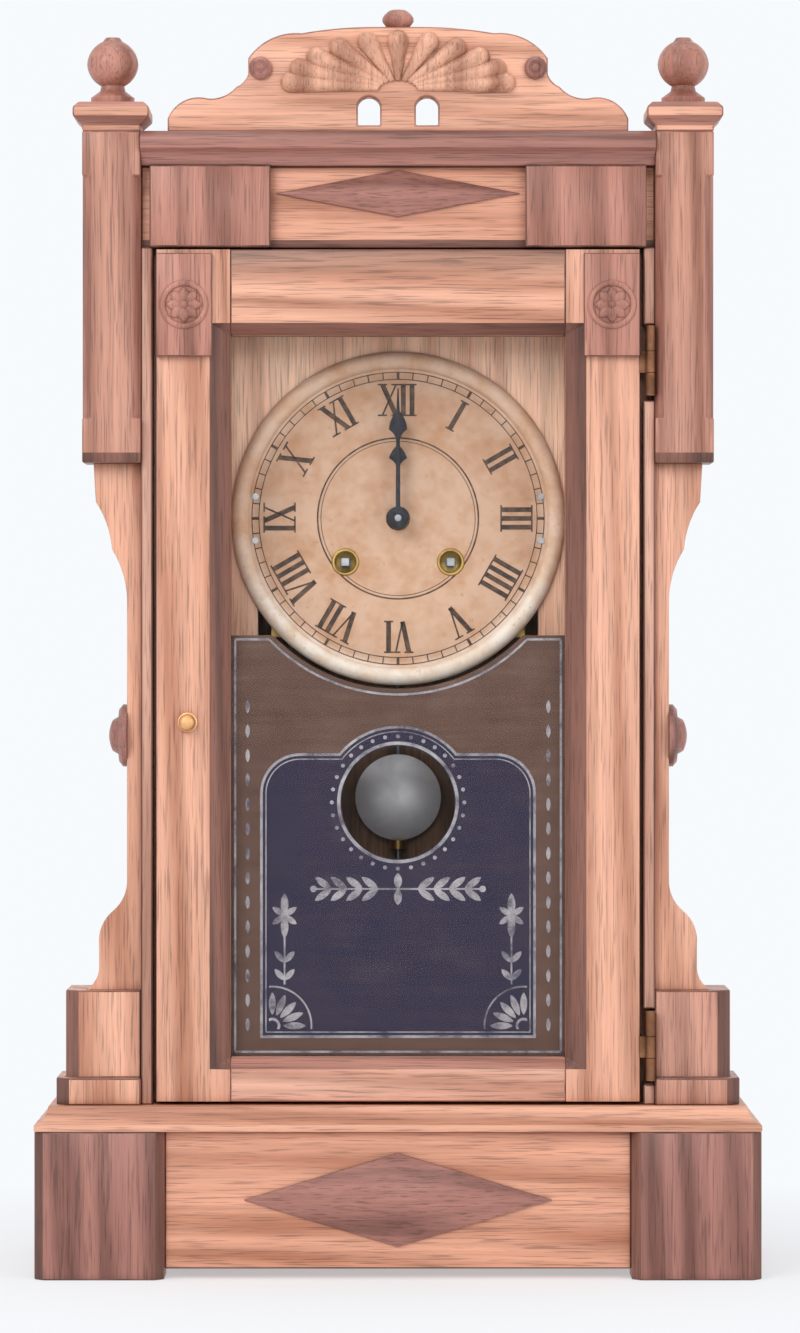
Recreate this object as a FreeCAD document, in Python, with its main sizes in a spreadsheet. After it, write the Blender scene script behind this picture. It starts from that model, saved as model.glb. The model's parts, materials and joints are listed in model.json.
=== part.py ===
import FreeCAD, Part
import Sketcher
import math
import os

# A shelf clock: a walnut case with sawn and turned ornament, a hinged glazed door, and a movement with
# a time train, a strike train, a pendulum and a coil gong. Millimetres. X is right, Y is back, Z is up.
# It stands on z = 0, centred on x = 0 and y = 0, and its front faces -Y.

Vector = FreeCAD.Vector
Rotation = FreeCAD.Rotation

SIZES = {
    # base
    "base_width": 324,
    "overall_depth": 128,
    "plinth_height": 66,
    "plinth_lift": 4.5,
    "plinth_board": 12,
    "block_width": 58,
    "block_depth": 22,
    "block_proud": 6,
    "block_chamfer": 4,
    "base_top_height": 11,
    "base_top_edge": 6,
    "base_top_lip": 3,
    "base_diamond_width": 138,
    "base_diamond_height": 42,
    "diamond_edge": 1.5,
    "diamond_rise": 6,
    "diamond_flat": 0.06,
    # case
    "case_width": 230,
    "case_height": 435,
    "case_setback": 30,
    "side_board": 10,
    "back_thickness": 6,
    "top_board": 8,
    "cornice_height": 15,
    "cornice_reach": 26,
    "cornice_cove": 7,
    "cornice_bevel": 3,
    "frieze_height": 36.5,
    "frieze_board": 14,
    "frieze_block_width": 54,
    "frieze_block_proud": 6,
    "frieze_block_inset": 4,
    "frieze_diamond_width": 110,
    "frieze_diamond_height": 21,
    "frieze_diamond_lift": 6,
    # posts, brackets and their turned pieces
    "post_width": 26,
    "post_length": 148,
    "post_forward": 22,
    "post_chamfer": 4,
    "post_square_end": 20,
    "cap_overhang": 4,
    "cap_height": 13,
    "cap_step": 2.5,
    "finial_height": 30,
    "finial_radius": 11.5,
    "scroll_forward": 12,
    "scroll_board": 18,
    "scroll_strip": 6.5,
    "corbel_reach": 21.5,
    "corbel_height": 64,
    "bracket_reach": 19,
    "bracket_height": 48,
    "bracket_lip": 6,
    "boss_rise": 165,
    "boss_radius": 14,
    "boss_reach": 8.5,
    "ear_width": 34,
    "ear_height": 51,
    "ear_depth": 40,
    "ear_forward": 16,
    "ear_chamfer": 6,
    "ear_foot": 4,
    "ear_foot_height": 12,
    # crest
    "crest_half_width": 103,
    "crest_height": 47,
    "crest_board": 12,
    "crest_forward": 18,
    "crest_shoulder": 67,
    "crest_top_half": 43,
    "crest_wing_height": 15,
    "crest_hole_place": 13,
    "crest_hole_radius": 5,
    "crest_hole_height": 9,
    "crest_hole_sill": 3,
    "fan_half_width": 55,
    "fan_height": 25,
    "fan_centre": 19,
    "fan_ribs": 11,
    "fan_rib_radius": 4.6,
    "rosette_radius": 5,
    "rosette_rise": 4,
    "rosette_margin": 0.5,
    "rosette_height": 28.5,
    "knob_radius": 7,
    "knob_height": 8,
    # door
    "door_width": 216,
    "door_thickness": 18,
    "door_gap": 0.4,
    "door_clearance": 1.5,
    "door_top_gap": 1,
    "stile_width": 33,
    "top_rail": 38,
    "bottom_rail": 19.5,
    "bevel_side": 9,
    "bevel_rail": 5,
    "bevel_depth": 6,
    "rebate_width": 6,
    "rebate_depth": 7,
    "glass_thickness": 2.2,
    "corner_block_width": 25,
    "corner_block_height": 46,
    "corner_block_drop": 2,
    "corner_block_proud": 4,
    "roundel_radius": 9,
    "roundel_rise": 3,
    "jamb_width": 5.2,
    "jamb_depth": 17,
    "jamb_clear": 2,
    "hinge_out": 4.8,
    "hinge_forward": 1.6,
    "hinge_height": 30,
    "hinge_low": 26,
    "hinge_high": 332,
    "leaf_thickness": 1.2,
    "leaf_width": 16,
    "knuckle_radius": 2.2,
    "pin_radius": 1,
    "latch_place": 94,
    "latch_rise": 171,
    "latch_shank": 2,
    "latch_reach": 9.5,
    "latch_arm": 5,
    "latch_plate": 2,
    "catch_width": 20,
    "catch_lip": 6.5,
    # dial and hands
    "dial_rise": 263.5,
    "dial_radius": 76,
    "dial_bead": 8,
    "dial_bead_rise": 3,
    "dial_sheet": 1,
    "dial_depth": 50,
    "dial_hole": 5.5,
    "winding_hole": 4.8,
    "cleat_width": 41,
    "cleat_thickness": 14,
    "cleat_above": 90,
    "cleat_below": 82,
    "spandrel_board": 6,
    "spandrel_radius": 70,
    "spandrel_low": 30,
    "dial_screw_place": 65,
    "dial_screw_rise": 10,
    "hand_thickness": 0.8,
    "hour_hand": 40,
    "minute_hand": 59,
    "hour_hand_front": 5.2,
    "minute_hand_front": 8.2,
    "hand_hub": 5,
    "hand_stem": 1.1,
    "hand_spade": 4.2,
    # movement frame
    "plate_half_width": 58,
    "plate_above": 70,
    "plate_below": 54,
    "plate_thickness": 1.6,
    "plate_gap": 34,
    "plate_corner": 14,
    "standoff_length": 16,
    "standoff_radius": 4,
    "standoff_place": 38,
    "standoff_above": 50,
    "standoff_below": 46,
    "pillar_radius": 3,
    "pillar_tip": 1.6,
    "pillar_place": 50,
    "pillar_above": 52,
    "pillar_below": 46,
    "screw_radius": 1.5,
    "screw_head": 3,
    "running_fit": 0.05,
    "end_shake": 0.2,
    "free_gap": 0.3,
    # arbors, given from the dial's centre
    "arbor_radius": 1.1,
    "pivot_radius": 0.8,
    "winding_radius": 2.5,
    "winding_square": 3.4,
    "winding_proud": 2,
    "centre_radius": 1.5,
    "hour_pipe_wall": 1.1,
    "main_place": 24,
    "main_drop": 19.9,
    "third_place": 16.1,
    "escape_rise": 30,
    "verge_rise": 54,
    "motion_place": 8.5,
    "second_place": 30,
    "second_rise": 10.7,
    "warning_place": 38,
    "warning_rise": 31.2,
    "fly_place": 20.8,
    "fly_rise": 36.5,
    "hammer_place": 53,
    "hammer_drop": 4,
    # where each wheel stands behind the front plate
    "time_main_level": 2.5,
    "motion_before_plate": 1.8,
    "hour_before_plate": 6.4,
    "motion_pinion_proud": 0.8,
    "ratchet_level": 4.8,
    "escape_level": 6,
    "spring_level": 8,
    "third_level": 22,
    "centre_level": 26,
    "strike_main_level": 30,
    "strike_ratchet_level": 27.8,
    "warning_level": 8.2,
    "fly_blade_level": 11.5,
    "fly_blade_width": 8,
    "fly_reach": 10,
    "wheel_thickness": 1,
    "main_wheel_thickness": 1.5,
    "pinion_overlap": 1.2,
    "ratchet_radius": 9,
    "ratchet_tooth": 1.2,
    "escape_radius": 17,
    "escape_tooth": 2.6,
    "spring_width": 12,
    "spring_strip": 0.5,
    "spring_pitch": 1.9,
    "spring_turns": 9,
    # pendulum, hammer and gong
    "pendulum_length": 182.6,
    "pendulum_depth": 8,
    "rod_radius": 1.1,
    "bob_radius": 20,
    "bob_thickness": 9,
    "bob_rim": 2.4,
    "rating_radius": 4,
    "rating_height": 4,
    "suspension_strip": 0.3,
    "suspension_width": 5,
    "suspension_length": 12,
    "suspension_slot": 1.2,
    "cock_half_width": 5,
    "cock_height": 7,
    "crutch_length": 42,
    "crutch_half_width": 1.2,
    "crutch_sheet": 1.2,
    "pallet_span": 15.4,
    "pallet_drop": 12.2,
    "pallet_depth": 2,
    "gong_rise": 57,
    "gong_depth": 10,
    "gong_inner": 8,
    "gong_pitch": 6,
    "gong_turns": 5,
    "gong_wire": 1.1,
    "gong_post": 6,
    "gong_foot": 12,
    "gong_foot_thickness": 3,
    "hammer_wire": 1,
    "hammer_head": 4.5,
    "hammer_head_length": 12,
    "hammer_gap": 1.3,
}

# teeth on each wheel and leaves on each pinion
TIME_MAIN, CENTRE, THIRD, ESCAPE = 96, 80, 80, 42
STRIKE_MAIN, SECOND, WARNING = 104, 80, 64
CANNON, MINUTE, MINUTE_PINION, HOUR = 12, 36, 10, 40
LEAVES = 8
RATCHET = 24

# tooth outlines in modules: how far from the pitch circle, and half the width there
WHEEL_TOOTH = ((-1.4, 0.62), (0.0, 0.58), (0.5, 0.42), (0.95, 0.15))
PINION_LEAF = ((-1.5, 0.3), (0.0, 0.46), (0.45, 0.2))
CROSSINGS = 5
# how far a pointed tooth leans, as a share of the space between two teeth
ESCAPE_LEAN, RATCHET_LEAN = 0.7, 0.1

doc = FreeCAD.newDocument("shelf_clock")
sheet = doc.addObject("Spreadsheet::Sheet", "Sizes")
for row, (alias, value) in enumerate(SIZES.items(), 1):
    sheet.set(f"A{row}", alias.replace("_", " "))
    sheet.set(f"B{row}", str(value))
    sheet.setAlias(f"B{row}", alias)
doc.recompute()


class Size:
    """A number together with the sheet formula that gives it."""

    def __init__(self, number, formula):
        self.number = float(number)
        self.formula = formula

    def __add__(self, other):
        other = as_size(other)
        return Size(self.number + other.number, f"({self.formula} + {other.formula})")

    def __sub__(self, other):
        other = as_size(other)
        return Size(self.number - other.number, f"({self.formula} - {other.formula})")

    def __rsub__(self, other):
        return as_size(other) - self

    def __mul__(self, other):
        other = as_size(other)
        return Size(self.number * other.number, f"({self.formula} * {other.formula})")

    def __truediv__(self, other):
        other = as_size(other)
        return Size(self.number / other.number, f"({self.formula} / {other.formula})")

    def __neg__(self):
        return Size(-self.number, f"(0 - {self.formula})")

    __radd__ = __add__
    __rmul__ = __mul__


def as_size(value):
    """A plain number as a size, and a size as it is."""
    if isinstance(value, Size):
        return value
    return Size(value, f"({float(value):.6f})")


def num(value):
    """The plain number of a size or a number."""
    return as_size(value).number


class Named:
    """The sheet's sizes by name."""


S = Named()
for alias in SIZES:
    setattr(S, alias, Size(sheet.get(alias), "Sizes." + alias))

# Helpers that make document objects bound to the sheet

nodes = []


def node(made, label):
    """Marks an object as a finished sub-part."""
    made.Label = label
    nodes.append(made)
    return made


def bind(target, path, size):
    target.setExpression(path, as_size(size).formula)


def place(target, x, y, z):
    for axis, size in zip("xyz", (x, y, z)):
        bind(target, "Placement.Base." + axis, size)


def block(name, x, y, z):
    """A plain board; x, y and z are its low and high limits."""
    box = doc.addObject("Part::Box", name)
    for side, (low, high) in zip(("Length", "Width", "Height"), (x, y, z)):
        bind(box, side, as_size(high) - low)
    place(box, x[0], y[0], z[0])
    return box


# how a part made along Z is turned to lie along another axis
ALONG = {
    "up": Rotation(),
    "right": Rotation(Vector(0, 1, 0), 90),
    "left": Rotation(Vector(0, 1, 0), -90),
    "back": Rotation(Vector(1, 0, 0), -90),
    "front": Rotation(Vector(1, 0, 0), 90),
}


def rod(name, start, along, radius, length):
    """A round bar from a start point."""
    bar = doc.addObject("Part::Cylinder", name)
    bar.Placement = FreeCAD.Placement(Vector(), ALONG[along])
    bind(bar, "Radius", radius)
    bind(bar, "Height", length)
    place(bar, *start)
    return bar


def edge_curve(start, end, bow):
    """A line, or an arc that bows to the right of its way if the radius is positive, with its start's number."""
    if bow is None:
        return Part.LineSegment(start, end), 1
    chord = end - start
    middle = (start + end) / 2
    half = chord.Length / 2
    left = Vector(-chord.y, chord.x, 0).normalize()
    reach = math.sqrt(max(num(bow) ** 2 - half**2, 0.0))
    centre = middle + left * (reach if num(bow) > 0 else -reach)
    angles = [math.atan2(p.y - centre.y, p.x - centre.x) for p in (start, end)]
    circle = Part.Circle(centre, Vector(0, 0, 1), abs(num(bow)))
    if num(bow) > 0:
        return Part.ArcOfCircle(circle, angles[0], angles[1]), 1
    return Part.ArcOfCircle(circle, angles[1], angles[0]), 2


def draw(sketch, corners, arcs=None):
    """A closed outline through corners; arcs gives a radius for the edge that leaves a corner."""
    arcs = arcs or {}
    points = [Vector(num(u), num(v), 0) for u, v in corners]
    starts = []
    for i, point in enumerate(points):
        curve, first = edge_curve(point, points[(i + 1) % len(points)], arcs.get(i))
        sketch.addGeometry(curve, False)
        starts.append(first)
    for i, first in enumerate(starts):
        after = (i + 1) % len(starts)
        sketch.addConstraint(Sketcher.Constraint("Coincident", i, 3 - first, after, starts[after]))
    for i, (corner, first) in enumerate(zip(corners, starts)):
        for kind, axis, size in zip(("DistanceX", "DistanceY"), (-2, -1), corner):
            if num(size) == 0:
                sketch.addConstraint(Sketcher.Constraint("PointOnObject", i, first, axis))
                continue
            at = sketch.addConstraint(Sketcher.Constraint(kind, -1, 1, i, first, num(size)))
            bind(sketch, f"Constraints[{at}]", size)
        if i in arcs:
            radius = arcs[i] if num(arcs[i]) > 0 else -as_size(arcs[i])
            at = sketch.addConstraint(Sketcher.Constraint("Radius", i, num(radius)))
            bind(sketch, f"Constraints[{at}]", radius)


def sketched(name, plane, corners, arcs=None):
    """A body with one outline on a plane of its own."""
    body = doc.addObject("PartDesign::Body", name)
    sketch = body.newObject("Sketcher::SketchObject", name + "_outline")
    origin_plane = [part for part in body.Origin.OriginFeatures if part.Role == plane][0]
    sketch.AttachmentSupport = [(origin_plane, "")]
    sketch.MapMode = "FlatFace"
    draw(sketch, corners, arcs)
    return body, sketch


def padded(name, plane, corners, length, arcs=None):
    body, sketch = sketched(name, plane, corners, arcs)
    pad = body.newObject("PartDesign::Pad", name + "_pad")
    pad.Profile = sketch
    bind(pad, "Length", length)
    sketch.Visibility = False
    return body


def sawn(name, corners, y, arcs=None):
    """An outline in X and Z, sawn from a board between two y limits."""
    body = padded(name, "XZ_Plane", corners, as_size(y[1]) - y[0], arcs)
    bind(body, "Placement.Base.y", y[1])
    return body


def moulded(name, corners, x, arcs=None):
    """An outline in Y and Z, run along X."""
    body = padded(name, "YZ_Plane", corners, as_size(x[1]) - x[0], arcs)
    bind(body, "Placement.Base.x", x[0])
    return body


def column(name, corners, z, arcs=None):
    """An outline in X and Y, run up Z."""
    body = padded(name, "XY_Plane", corners, as_size(z[1]) - z[0], arcs)
    bind(body, "Placement.Base.z", z[0])
    return body


def turned(name, corners, at, along="up", arcs=None):
    """An outline of radius and height, turned about its height."""
    body, sketch = sketched(name, "XZ_Plane", corners, arcs)
    turn = body.newObject("PartDesign::Revolution", name + "_turn")
    turn.Profile = sketch
    turn.ReferenceAxis = (sketch, ["V_Axis"])
    turn.Angle = 360
    sketch.Visibility = False
    body.Placement = FreeCAD.Placement(Vector(), ALONG[along])
    place(body, *at)
    return body


def fused(name, *pieces):
    whole = doc.addObject("Part::MultiFuse", name)
    whole.Shapes = list(pieces)
    whole.Refine = True
    return whole


def without(name, base, *tools):
    """A piece with others cut out of it."""
    cut = doc.addObject("Part::Cut", name)
    cut.Base = base
    cut.Tool = tools[0] if len(tools) == 1 else fused(name + "_tools", *tools)
    return cut


def shared(name, first, second):
    both = doc.addObject("Part::MultiCommon", name)
    both.Shapes = [first, second]
    return both


def mirrored(name, source):
    """The same piece on the other side of the clock."""
    copy = doc.addObject("Part::Mirroring", name)
    copy.Source = source
    copy.Normal = Vector(1, 0, 0)
    return copy


def group(name, *pieces):
    whole = doc.addObject("Part::Compound", name)
    whole.Links = list(pieces)
    return whole


def both_sides(label, right):
    """A right-hand piece and its left-hand twin as one sub-part."""
    return node(group(label, right, mirrored(label + "_left", right)), label)


def feature(label, shape):
    made = doc.addObject("Part::Feature", label)
    made.Shape = shape
    return made


def dome(half_width, rise):
    """The radius of a ball whose cap has this half-width and rise."""
    return (half_width * half_width + rise * rise) / (rise * 2)


def lozenge(name, z, half_width, half_height, y):
    """A raised four-sided diamond, flat on its back and pointed in front."""
    body = doc.addObject("PartDesign::Body", name)
    origin_plane = [part for part in body.Origin.OriginFeatures if part.Role == "XZ_Plane"][0]
    rings = []
    steps = ((1, 0), (1, S.diamond_edge), (S.diamond_flat, S.diamond_rise))
    for i, (share, rise) in enumerate(steps):
        ring = body.newObject("Sketcher::SketchObject", f"{name}_ring_{i}")
        ring.AttachmentSupport = [(origin_plane, "")]
        ring.MapMode = "FlatFace"
        bind(ring, "AttachmentOffset.Base.z", rise)
        wide, tall = half_width * share, half_height * share
        draw(ring, ((wide, 0), (0, tall), (-wide, 0), (0, -tall)))
        ring.Visibility = False
        rings.append(ring)
    loft = body.newObject("PartDesign::AdditiveLoft", name + "_loft")
    loft.Profile = rings[0]
    loft.Sections = rings[1:]
    loft.Ruled = True
    place(body, 0, y, z)
    return body


# Lines that the whole clock is set out from

half_base = S.base_width / 2
back = S.overall_depth / 2
front = -back
floor = S.plinth_height + S.base_top_height
latch_z = floor + S.latch_rise
case_half = S.case_width / 2
case_inside = case_half - S.side_board
case_front = front + S.case_setback
board_front = back - S.back_thickness
case_top = floor + S.case_height
cornice_low = case_top - S.cornice_height
frieze_low = cornice_low - S.frieze_height
frieze_front = case_front - S.frieze_board

# Base

block_in = half_base - S.block_width
block_back = front + S.block_depth
chamfer = S.block_chamfer
base_block = column(
    "base_block",
    (
        (block_in + chamfer, front),
        (half_base - chamfer, front),
        (half_base, front + chamfer),
        (half_base, block_back),
        (block_in, block_back),
        (block_in, front + chamfer),
    ),
    (0, S.plinth_height),
)
both_sides("base_blocks", base_block)
panel_front = front + S.block_proud
panel = block(
    "base_panel",
    (-block_in, block_in),
    (panel_front, panel_front + S.plinth_board),
    (S.plinth_lift, S.plinth_height),
)
node(panel, "base_front_panel")
side_inside = half_base - S.plinth_board
base_side = block("base_side", (side_inside, half_base), (block_back, back), (0, S.plinth_height))
base_rail = block(
    "base_back_rail", (-side_inside, side_inside), (back - S.plinth_board, back), (S.plinth_lift, S.plinth_height)
)
node(group("base_boards", base_side, mirrored("base_side_left", base_side), base_rail), "base_boards")

lip = S.plinth_height + S.base_top_lip
edge = S.base_top_edge
across = sawn(
    "base_top_across",
    (
        (-half_base, S.plinth_height),
        (half_base, S.plinth_height),
        (half_base, lip),
        (half_base - edge, floor),
        (edge - half_base, floor),
        (-half_base, lip),
    ),
    (front, back),
    {2: edge * -1.5, 4: edge * -1.5},
)
along = moulded(
    "base_top_along",
    (
        (front, S.plinth_height),
        (back, S.plinth_height),
        (back, floor),
        (front + edge, floor),
        (front, lip),
    ),
    (-half_base, half_base),
    {3: edge * -1.5},
)
node(shared("base_top", across, along), "base_top")
panel_middle = (S.plinth_lift + S.plinth_height) / 2
base_diamond = lozenge(
    "base_diamond", panel_middle, S.base_diamond_width / 2, S.base_diamond_height / 2, panel_front
)
node(base_diamond, "base_diamond")

# Case

case_side = block("case_side", (case_inside, case_half), (case_front, board_front), (floor, case_top - S.top_board))
case_depth = (case_front, board_front)
node(block("case_top_board", (-case_half, case_half), case_depth, (case_top - S.top_board, case_top)), "case_top")
node(block("back_panel", (-case_half, case_half), (board_front, back), (floor, case_top)), "back_board")
frieze = block("frieze", (-case_half, case_half), (frieze_front, case_front), (frieze_low, cornice_low))
node(frieze, "frieze_board")
frieze_block_out = case_half - S.frieze_block_inset
frieze_block = block(
    "frieze_block",
    (frieze_block_out - S.frieze_block_width, frieze_block_out),
    (frieze_front - S.frieze_block_proud, frieze_front),
    (frieze_low, cornice_low),
)
both_sides("frieze_blocks", frieze_block)
frieze_middle = (frieze_low + cornice_low) / 2 + S.frieze_diamond_lift
frieze_diamond = lozenge(
    "frieze_diamond", frieze_middle, S.frieze_diamond_width / 2, S.frieze_diamond_height / 2, frieze_front
)
node(frieze_diamond, "frieze_diamond")
cornice_front = case_front - S.cornice_reach
cornice_foot = cornice_front + S.cornice_cove
cornice = moulded(
    "cornice_run",
    (
        (case_front, cornice_low),
        (case_front, case_top),
        (cornice_front + S.cornice_bevel, case_top),
        (cornice_front, case_top - S.cornice_bevel),
        (cornice_front, cornice_low + S.cornice_cove),
        (cornice_foot, cornice_low),
    ),
    (-case_half, case_half),
    {4: S.cornice_cove * -1.2},
)
node(cornice, "cornice")

# Posts with their caps and finials

post_out = case_half + S.post_width
post_front = case_front - S.post_forward
post_back = post_front + S.post_width
post_low = case_top - S.post_length
chamfer = S.post_chamfer
post_ends = [
    block(name, (case_half, post_out), (post_front, post_back), z)
    for name, z in (
        ("post_foot", (post_low, post_low + S.post_square_end)),
        ("post_head", (case_top - S.post_square_end, case_top)),
    )
]
post_shaft = column(
    "post_shaft",
    (
        (case_half + chamfer, post_front),
        (post_out - chamfer, post_front),
        (post_out, post_front + chamfer),
        (post_out, post_back - chamfer),
        (post_out - chamfer, post_back),
        (case_half, post_back),
        (case_half, post_front + chamfer),
    ),
    (post_low + S.post_square_end, case_top - S.post_square_end),
)
both_sides("posts", fused("post", post_shaft, *post_ends))


def cap_outline(low, high):
    """The outline of a cap over a post between two limits."""
    over, step = S.cap_overhang, S.cap_step
    top = case_top + S.cap_height
    return (
        (low, case_top),
        (high, case_top),
        (high, case_top + step),
        (high + over, case_top + step + over),
        (high + over, top - step),
        (high + over - step, top),
        (low - over + step, top),
        (low - over, top - step),
        (low - over, case_top + step + over),
        (low, case_top + step),
    )


over = S.cap_overhang
cap_across = sawn("cap_across", cap_outline(case_half, post_out), (post_front - over, post_back + over))
cap_along = moulded("cap_along", cap_outline(post_front, post_back), (case_half - over, post_out + over))
both_sides("post_caps", shared("post_cap", cap_across, cap_along))
post_middle = ((case_half + post_out) / 2, (post_front + post_back) / 2)
cap_top = case_top + S.cap_height
ball, tall = S.finial_radius, S.finial_height
finial = turned(
    "finial",
    (
        (0, 0),
        (ball * 0.85, 0),
        (ball * 0.85, tall * 0.1),
        (ball * 0.5, tall * 0.2),
        (ball * 0.45, tall * 0.28),
        (ball, tall * 0.6),
        (ball * 0.4, tall * 0.94),
        (ball * 0.28, tall),
        (0, tall),
    ),
    (*post_middle, cap_top),
    arcs={4: ball * 1.0, 5: ball * 1.02},
)

# Side boards with sawn brackets, turned bosses and the blocks at their foot

ear_top = floor + S.ear_height
scroll_front = case_front - S.scroll_forward
scroll_y = (scroll_front, scroll_front + S.scroll_board)
strip_out = case_half + S.scroll_strip
corbel_out = case_half + S.corbel_reach
bracket_out = case_half + S.bracket_reach
corbel_low = post_low - S.corbel_height
bracket_top = ear_top + S.bracket_height
corbel_run, bracket_run = S.corbel_reach - S.scroll_strip, S.bracket_reach - S.scroll_strip
scroll = sawn(
    "side_scroll",
    (
        (case_half, ear_top),
        (bracket_out + S.bracket_lip, ear_top),
        (bracket_out, ear_top + S.bracket_height * 0.2),
        (bracket_out, ear_top + S.bracket_height * 0.42),
        (strip_out + bracket_run * 0.5, ear_top + S.bracket_height * 0.74),
        (strip_out, bracket_top),
        (strip_out, corbel_low),
        (strip_out + corbel_run * 0.45, corbel_low + S.corbel_height * 0.4),
        (strip_out + corbel_run * 0.93, corbel_low + S.corbel_height * 0.73),
        (corbel_out, post_low),
        (case_half, post_low),
    ),
    scroll_y,
    {
        1: S.bracket_height * -0.25,
        3: S.bracket_height * 0.36,
        4: S.bracket_height * -0.36,
        6: S.corbel_height * -0.7,
        7: S.corbel_height * -0.7,
    },
)
both_sides("side_scrolls", scroll)
boss, reach = S.boss_radius, S.boss_reach
side_boss = turned(
    "side_boss",
    (
        (0, 0),
        (boss, 0),
        (boss, reach * 0.25),
        (boss * 0.85, reach * 0.45),
        (boss * 0.62, reach * 0.45),
        (boss * 0.5, reach * 0.8),
        (0, reach),
    ),
    (strip_out, scroll_front + S.scroll_board / 2, floor + S.boss_rise),
    "right",
    {5: dome(boss * 0.5, reach * 0.2)},
)
both_sides("side_bosses", side_boss)
ear_out = case_half + S.ear_width
ear_front = case_front - S.ear_forward
ear_back = ear_front + S.ear_depth


def ear_outline(grow):
    """The ear's plan with a chamfered outer corner, grown at its outer and front sides."""
    out, near = ear_out + grow, ear_front - grow
    return (
        (case_half, near),
        (out - S.ear_chamfer, near),
        (out, near + S.ear_chamfer),
        (out, ear_back),
        (case_half, ear_back),
    )


ear_foot_top = floor + S.ear_foot_height
ear = fused(
    "ear",
    column("ear_block", ear_outline(0), (ear_foot_top, ear_top)),
    column("ear_foot", ear_outline(S.ear_foot), (floor, ear_foot_top)),
)
both_sides("lower_ears", ear)

# Crest with its carved fan, rosettes and knob

crest_front = case_front - S.crest_forward
crest_y = (crest_front, crest_front + S.crest_board)
crest_top = case_top + S.crest_height
wide, high = S.crest_half_width, S.crest_height
wing, shoulder, flat = S.crest_wing_height, S.crest_shoulder, S.crest_top_half
crest_right = (
    (wide, case_top),
    (wide, case_top + wing * 0.4),
    (wide - wing * 1.2, case_top + wing),
    (shoulder + wing * 0.35, case_top + wing * 1.35),
    (shoulder, case_top + high * 0.55),
    (shoulder, case_top + high * 0.7),
    (flat, crest_top - high * 0.06),
    (S.knob_radius * 1.3, crest_top),
)
crest_left = tuple((-u, v) for u, v in reversed(crest_right))
last = 2 * len(crest_right) - 2
crest_arcs = {1: wing * 1.0, 2: wing * -1.0, 3: wing * -0.6, 5: high * 0.55, 6: high * 4}
crest_arcs.update({last - i: radius for i, radius in dict(crest_arcs).items()})
crest_blank = sawn("crest_blank", crest_right + crest_left, crest_y, crest_arcs)
hole, hole_low = S.crest_hole_radius, case_top + S.crest_hole_sill
hole_top = hole_low + S.crest_hole_height
crest_hole = sawn(
    "crest_hole",
    (
        (S.crest_hole_place - hole, hole_low),
        (S.crest_hole_place + hole, hole_low),
        (S.crest_hole_place + hole, hole_top),
        (S.crest_hole_place - hole, hole_top),
    ),
    crest_y,
    {2: hole * 1.02},
)
crest = without("crest", crest_blank, crest_hole, mirrored("crest_hole_left", crest_hole))
node(crest, "crest_board")


def fan_shape():
    """Half-round ribs that spread from the fan's foot over the crest board."""
    foot = Vector(0, num(crest_front), num(case_top + S.fan_centre))
    ribs = []
    count = int(num(S.fan_ribs))
    for i in range(count):
        angle = math.pi * (i + 0.5) / count
        tip = Vector(num(S.fan_half_width) * math.cos(angle), 0, num(S.fan_height) * math.sin(angle))
        swell = num(S.fan_rib_radius)
        start = foot + tip * 0.16
        cone = Part.makeCone(swell * 0.3, swell, tip.Length * 0.72, start, tip)
        ribs.append(cone.fuse(Part.makeSphere(swell, start + tip * 0.72)))
    whole = ribs[0].fuse(ribs[1:])
    reach = 2 * num(S.crest_half_width)
    room = Part.makeBox(2 * reach, reach, reach, Vector(-reach, num(crest_front) - reach, num(case_top)))
    return whole.common(room).removeSplitter()


fan = feature("fan", fan_shape())
rosette_radius, rise = S.rosette_radius, S.rosette_rise
rosette_outline = (
    (0, 0),
    (rosette_radius, 0),
    (rosette_radius, rise * 0.4),
    (rosette_radius * 0.7, rise * 0.7),
    (rosette_radius * 0.45, rise * 0.5),
    (0, rise),
)
rosette_x = shoulder - rosette_radius - S.rosette_margin
rosette = turned("rosette", rosette_outline, (rosette_x, crest_front, case_top + S.rosette_height), "front")
node(group("crest_carving", fan, rosette, mirrored("rosette_left", rosette)), "crest_carving")
knob, knob_high = S.knob_radius, S.knob_height
crest_knob = turned(
    "crest_knob",
    (
        (0, 0),
        (knob * 0.7, 0),
        (knob, knob_high * 0.35),
        (knob, knob_high * 0.55),
        (knob * 0.5, knob_high),
        (0, knob_high),
    ),
    (0, crest_front + S.crest_board / 2, crest_top),
    arcs={3: knob * 1.1},
)
node(group("finials", finial, mirrored("finial_left", finial), crest_knob), "finials")

# Door frame, with one tool for the bevel round the sight and one for the rebate behind it

door_half = S.door_width / 2
door_back = case_front - S.door_gap
door_front = door_back - S.door_thickness
door_low = floor + S.door_clearance
door_high = frieze_low - S.door_top_gap
sight = door_half - S.stile_width
sight_low = door_low + S.bottom_rail
sight_high = door_high - S.top_rail
bevel = doc.addObject("Part::Wedge", "sight_bevel")
for path, size in (
    ("Xmin", -sight - S.bevel_side),
    ("Xmax", sight + S.bevel_side),
    ("Zmin", sight_low - S.bevel_rail),
    ("Zmax", sight_high + S.bevel_rail),
    ("Ymin", door_front),
    ("Ymax", door_front + S.bevel_depth),
    ("X2min", -sight),
    ("X2max", sight),
    ("Z2min", sight_low),
    ("Z2max", sight_high),
):
    bind(bevel, path, size)
rebate_front = door_back - S.rebate_depth
rebate = block(
    "glass_rebate",
    (-sight - S.rebate_width, sight + S.rebate_width),
    (rebate_front, door_back),
    (sight_low - S.rebate_width, sight_high + S.rebate_width),
)
door_y = (door_front, door_back)
stile_right = block("stile_right_blank", (sight, door_half), door_y, (door_low, door_high))
stile_left = block("stile_left_blank", (-door_half, -sight), door_y, (door_low, door_high))
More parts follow.
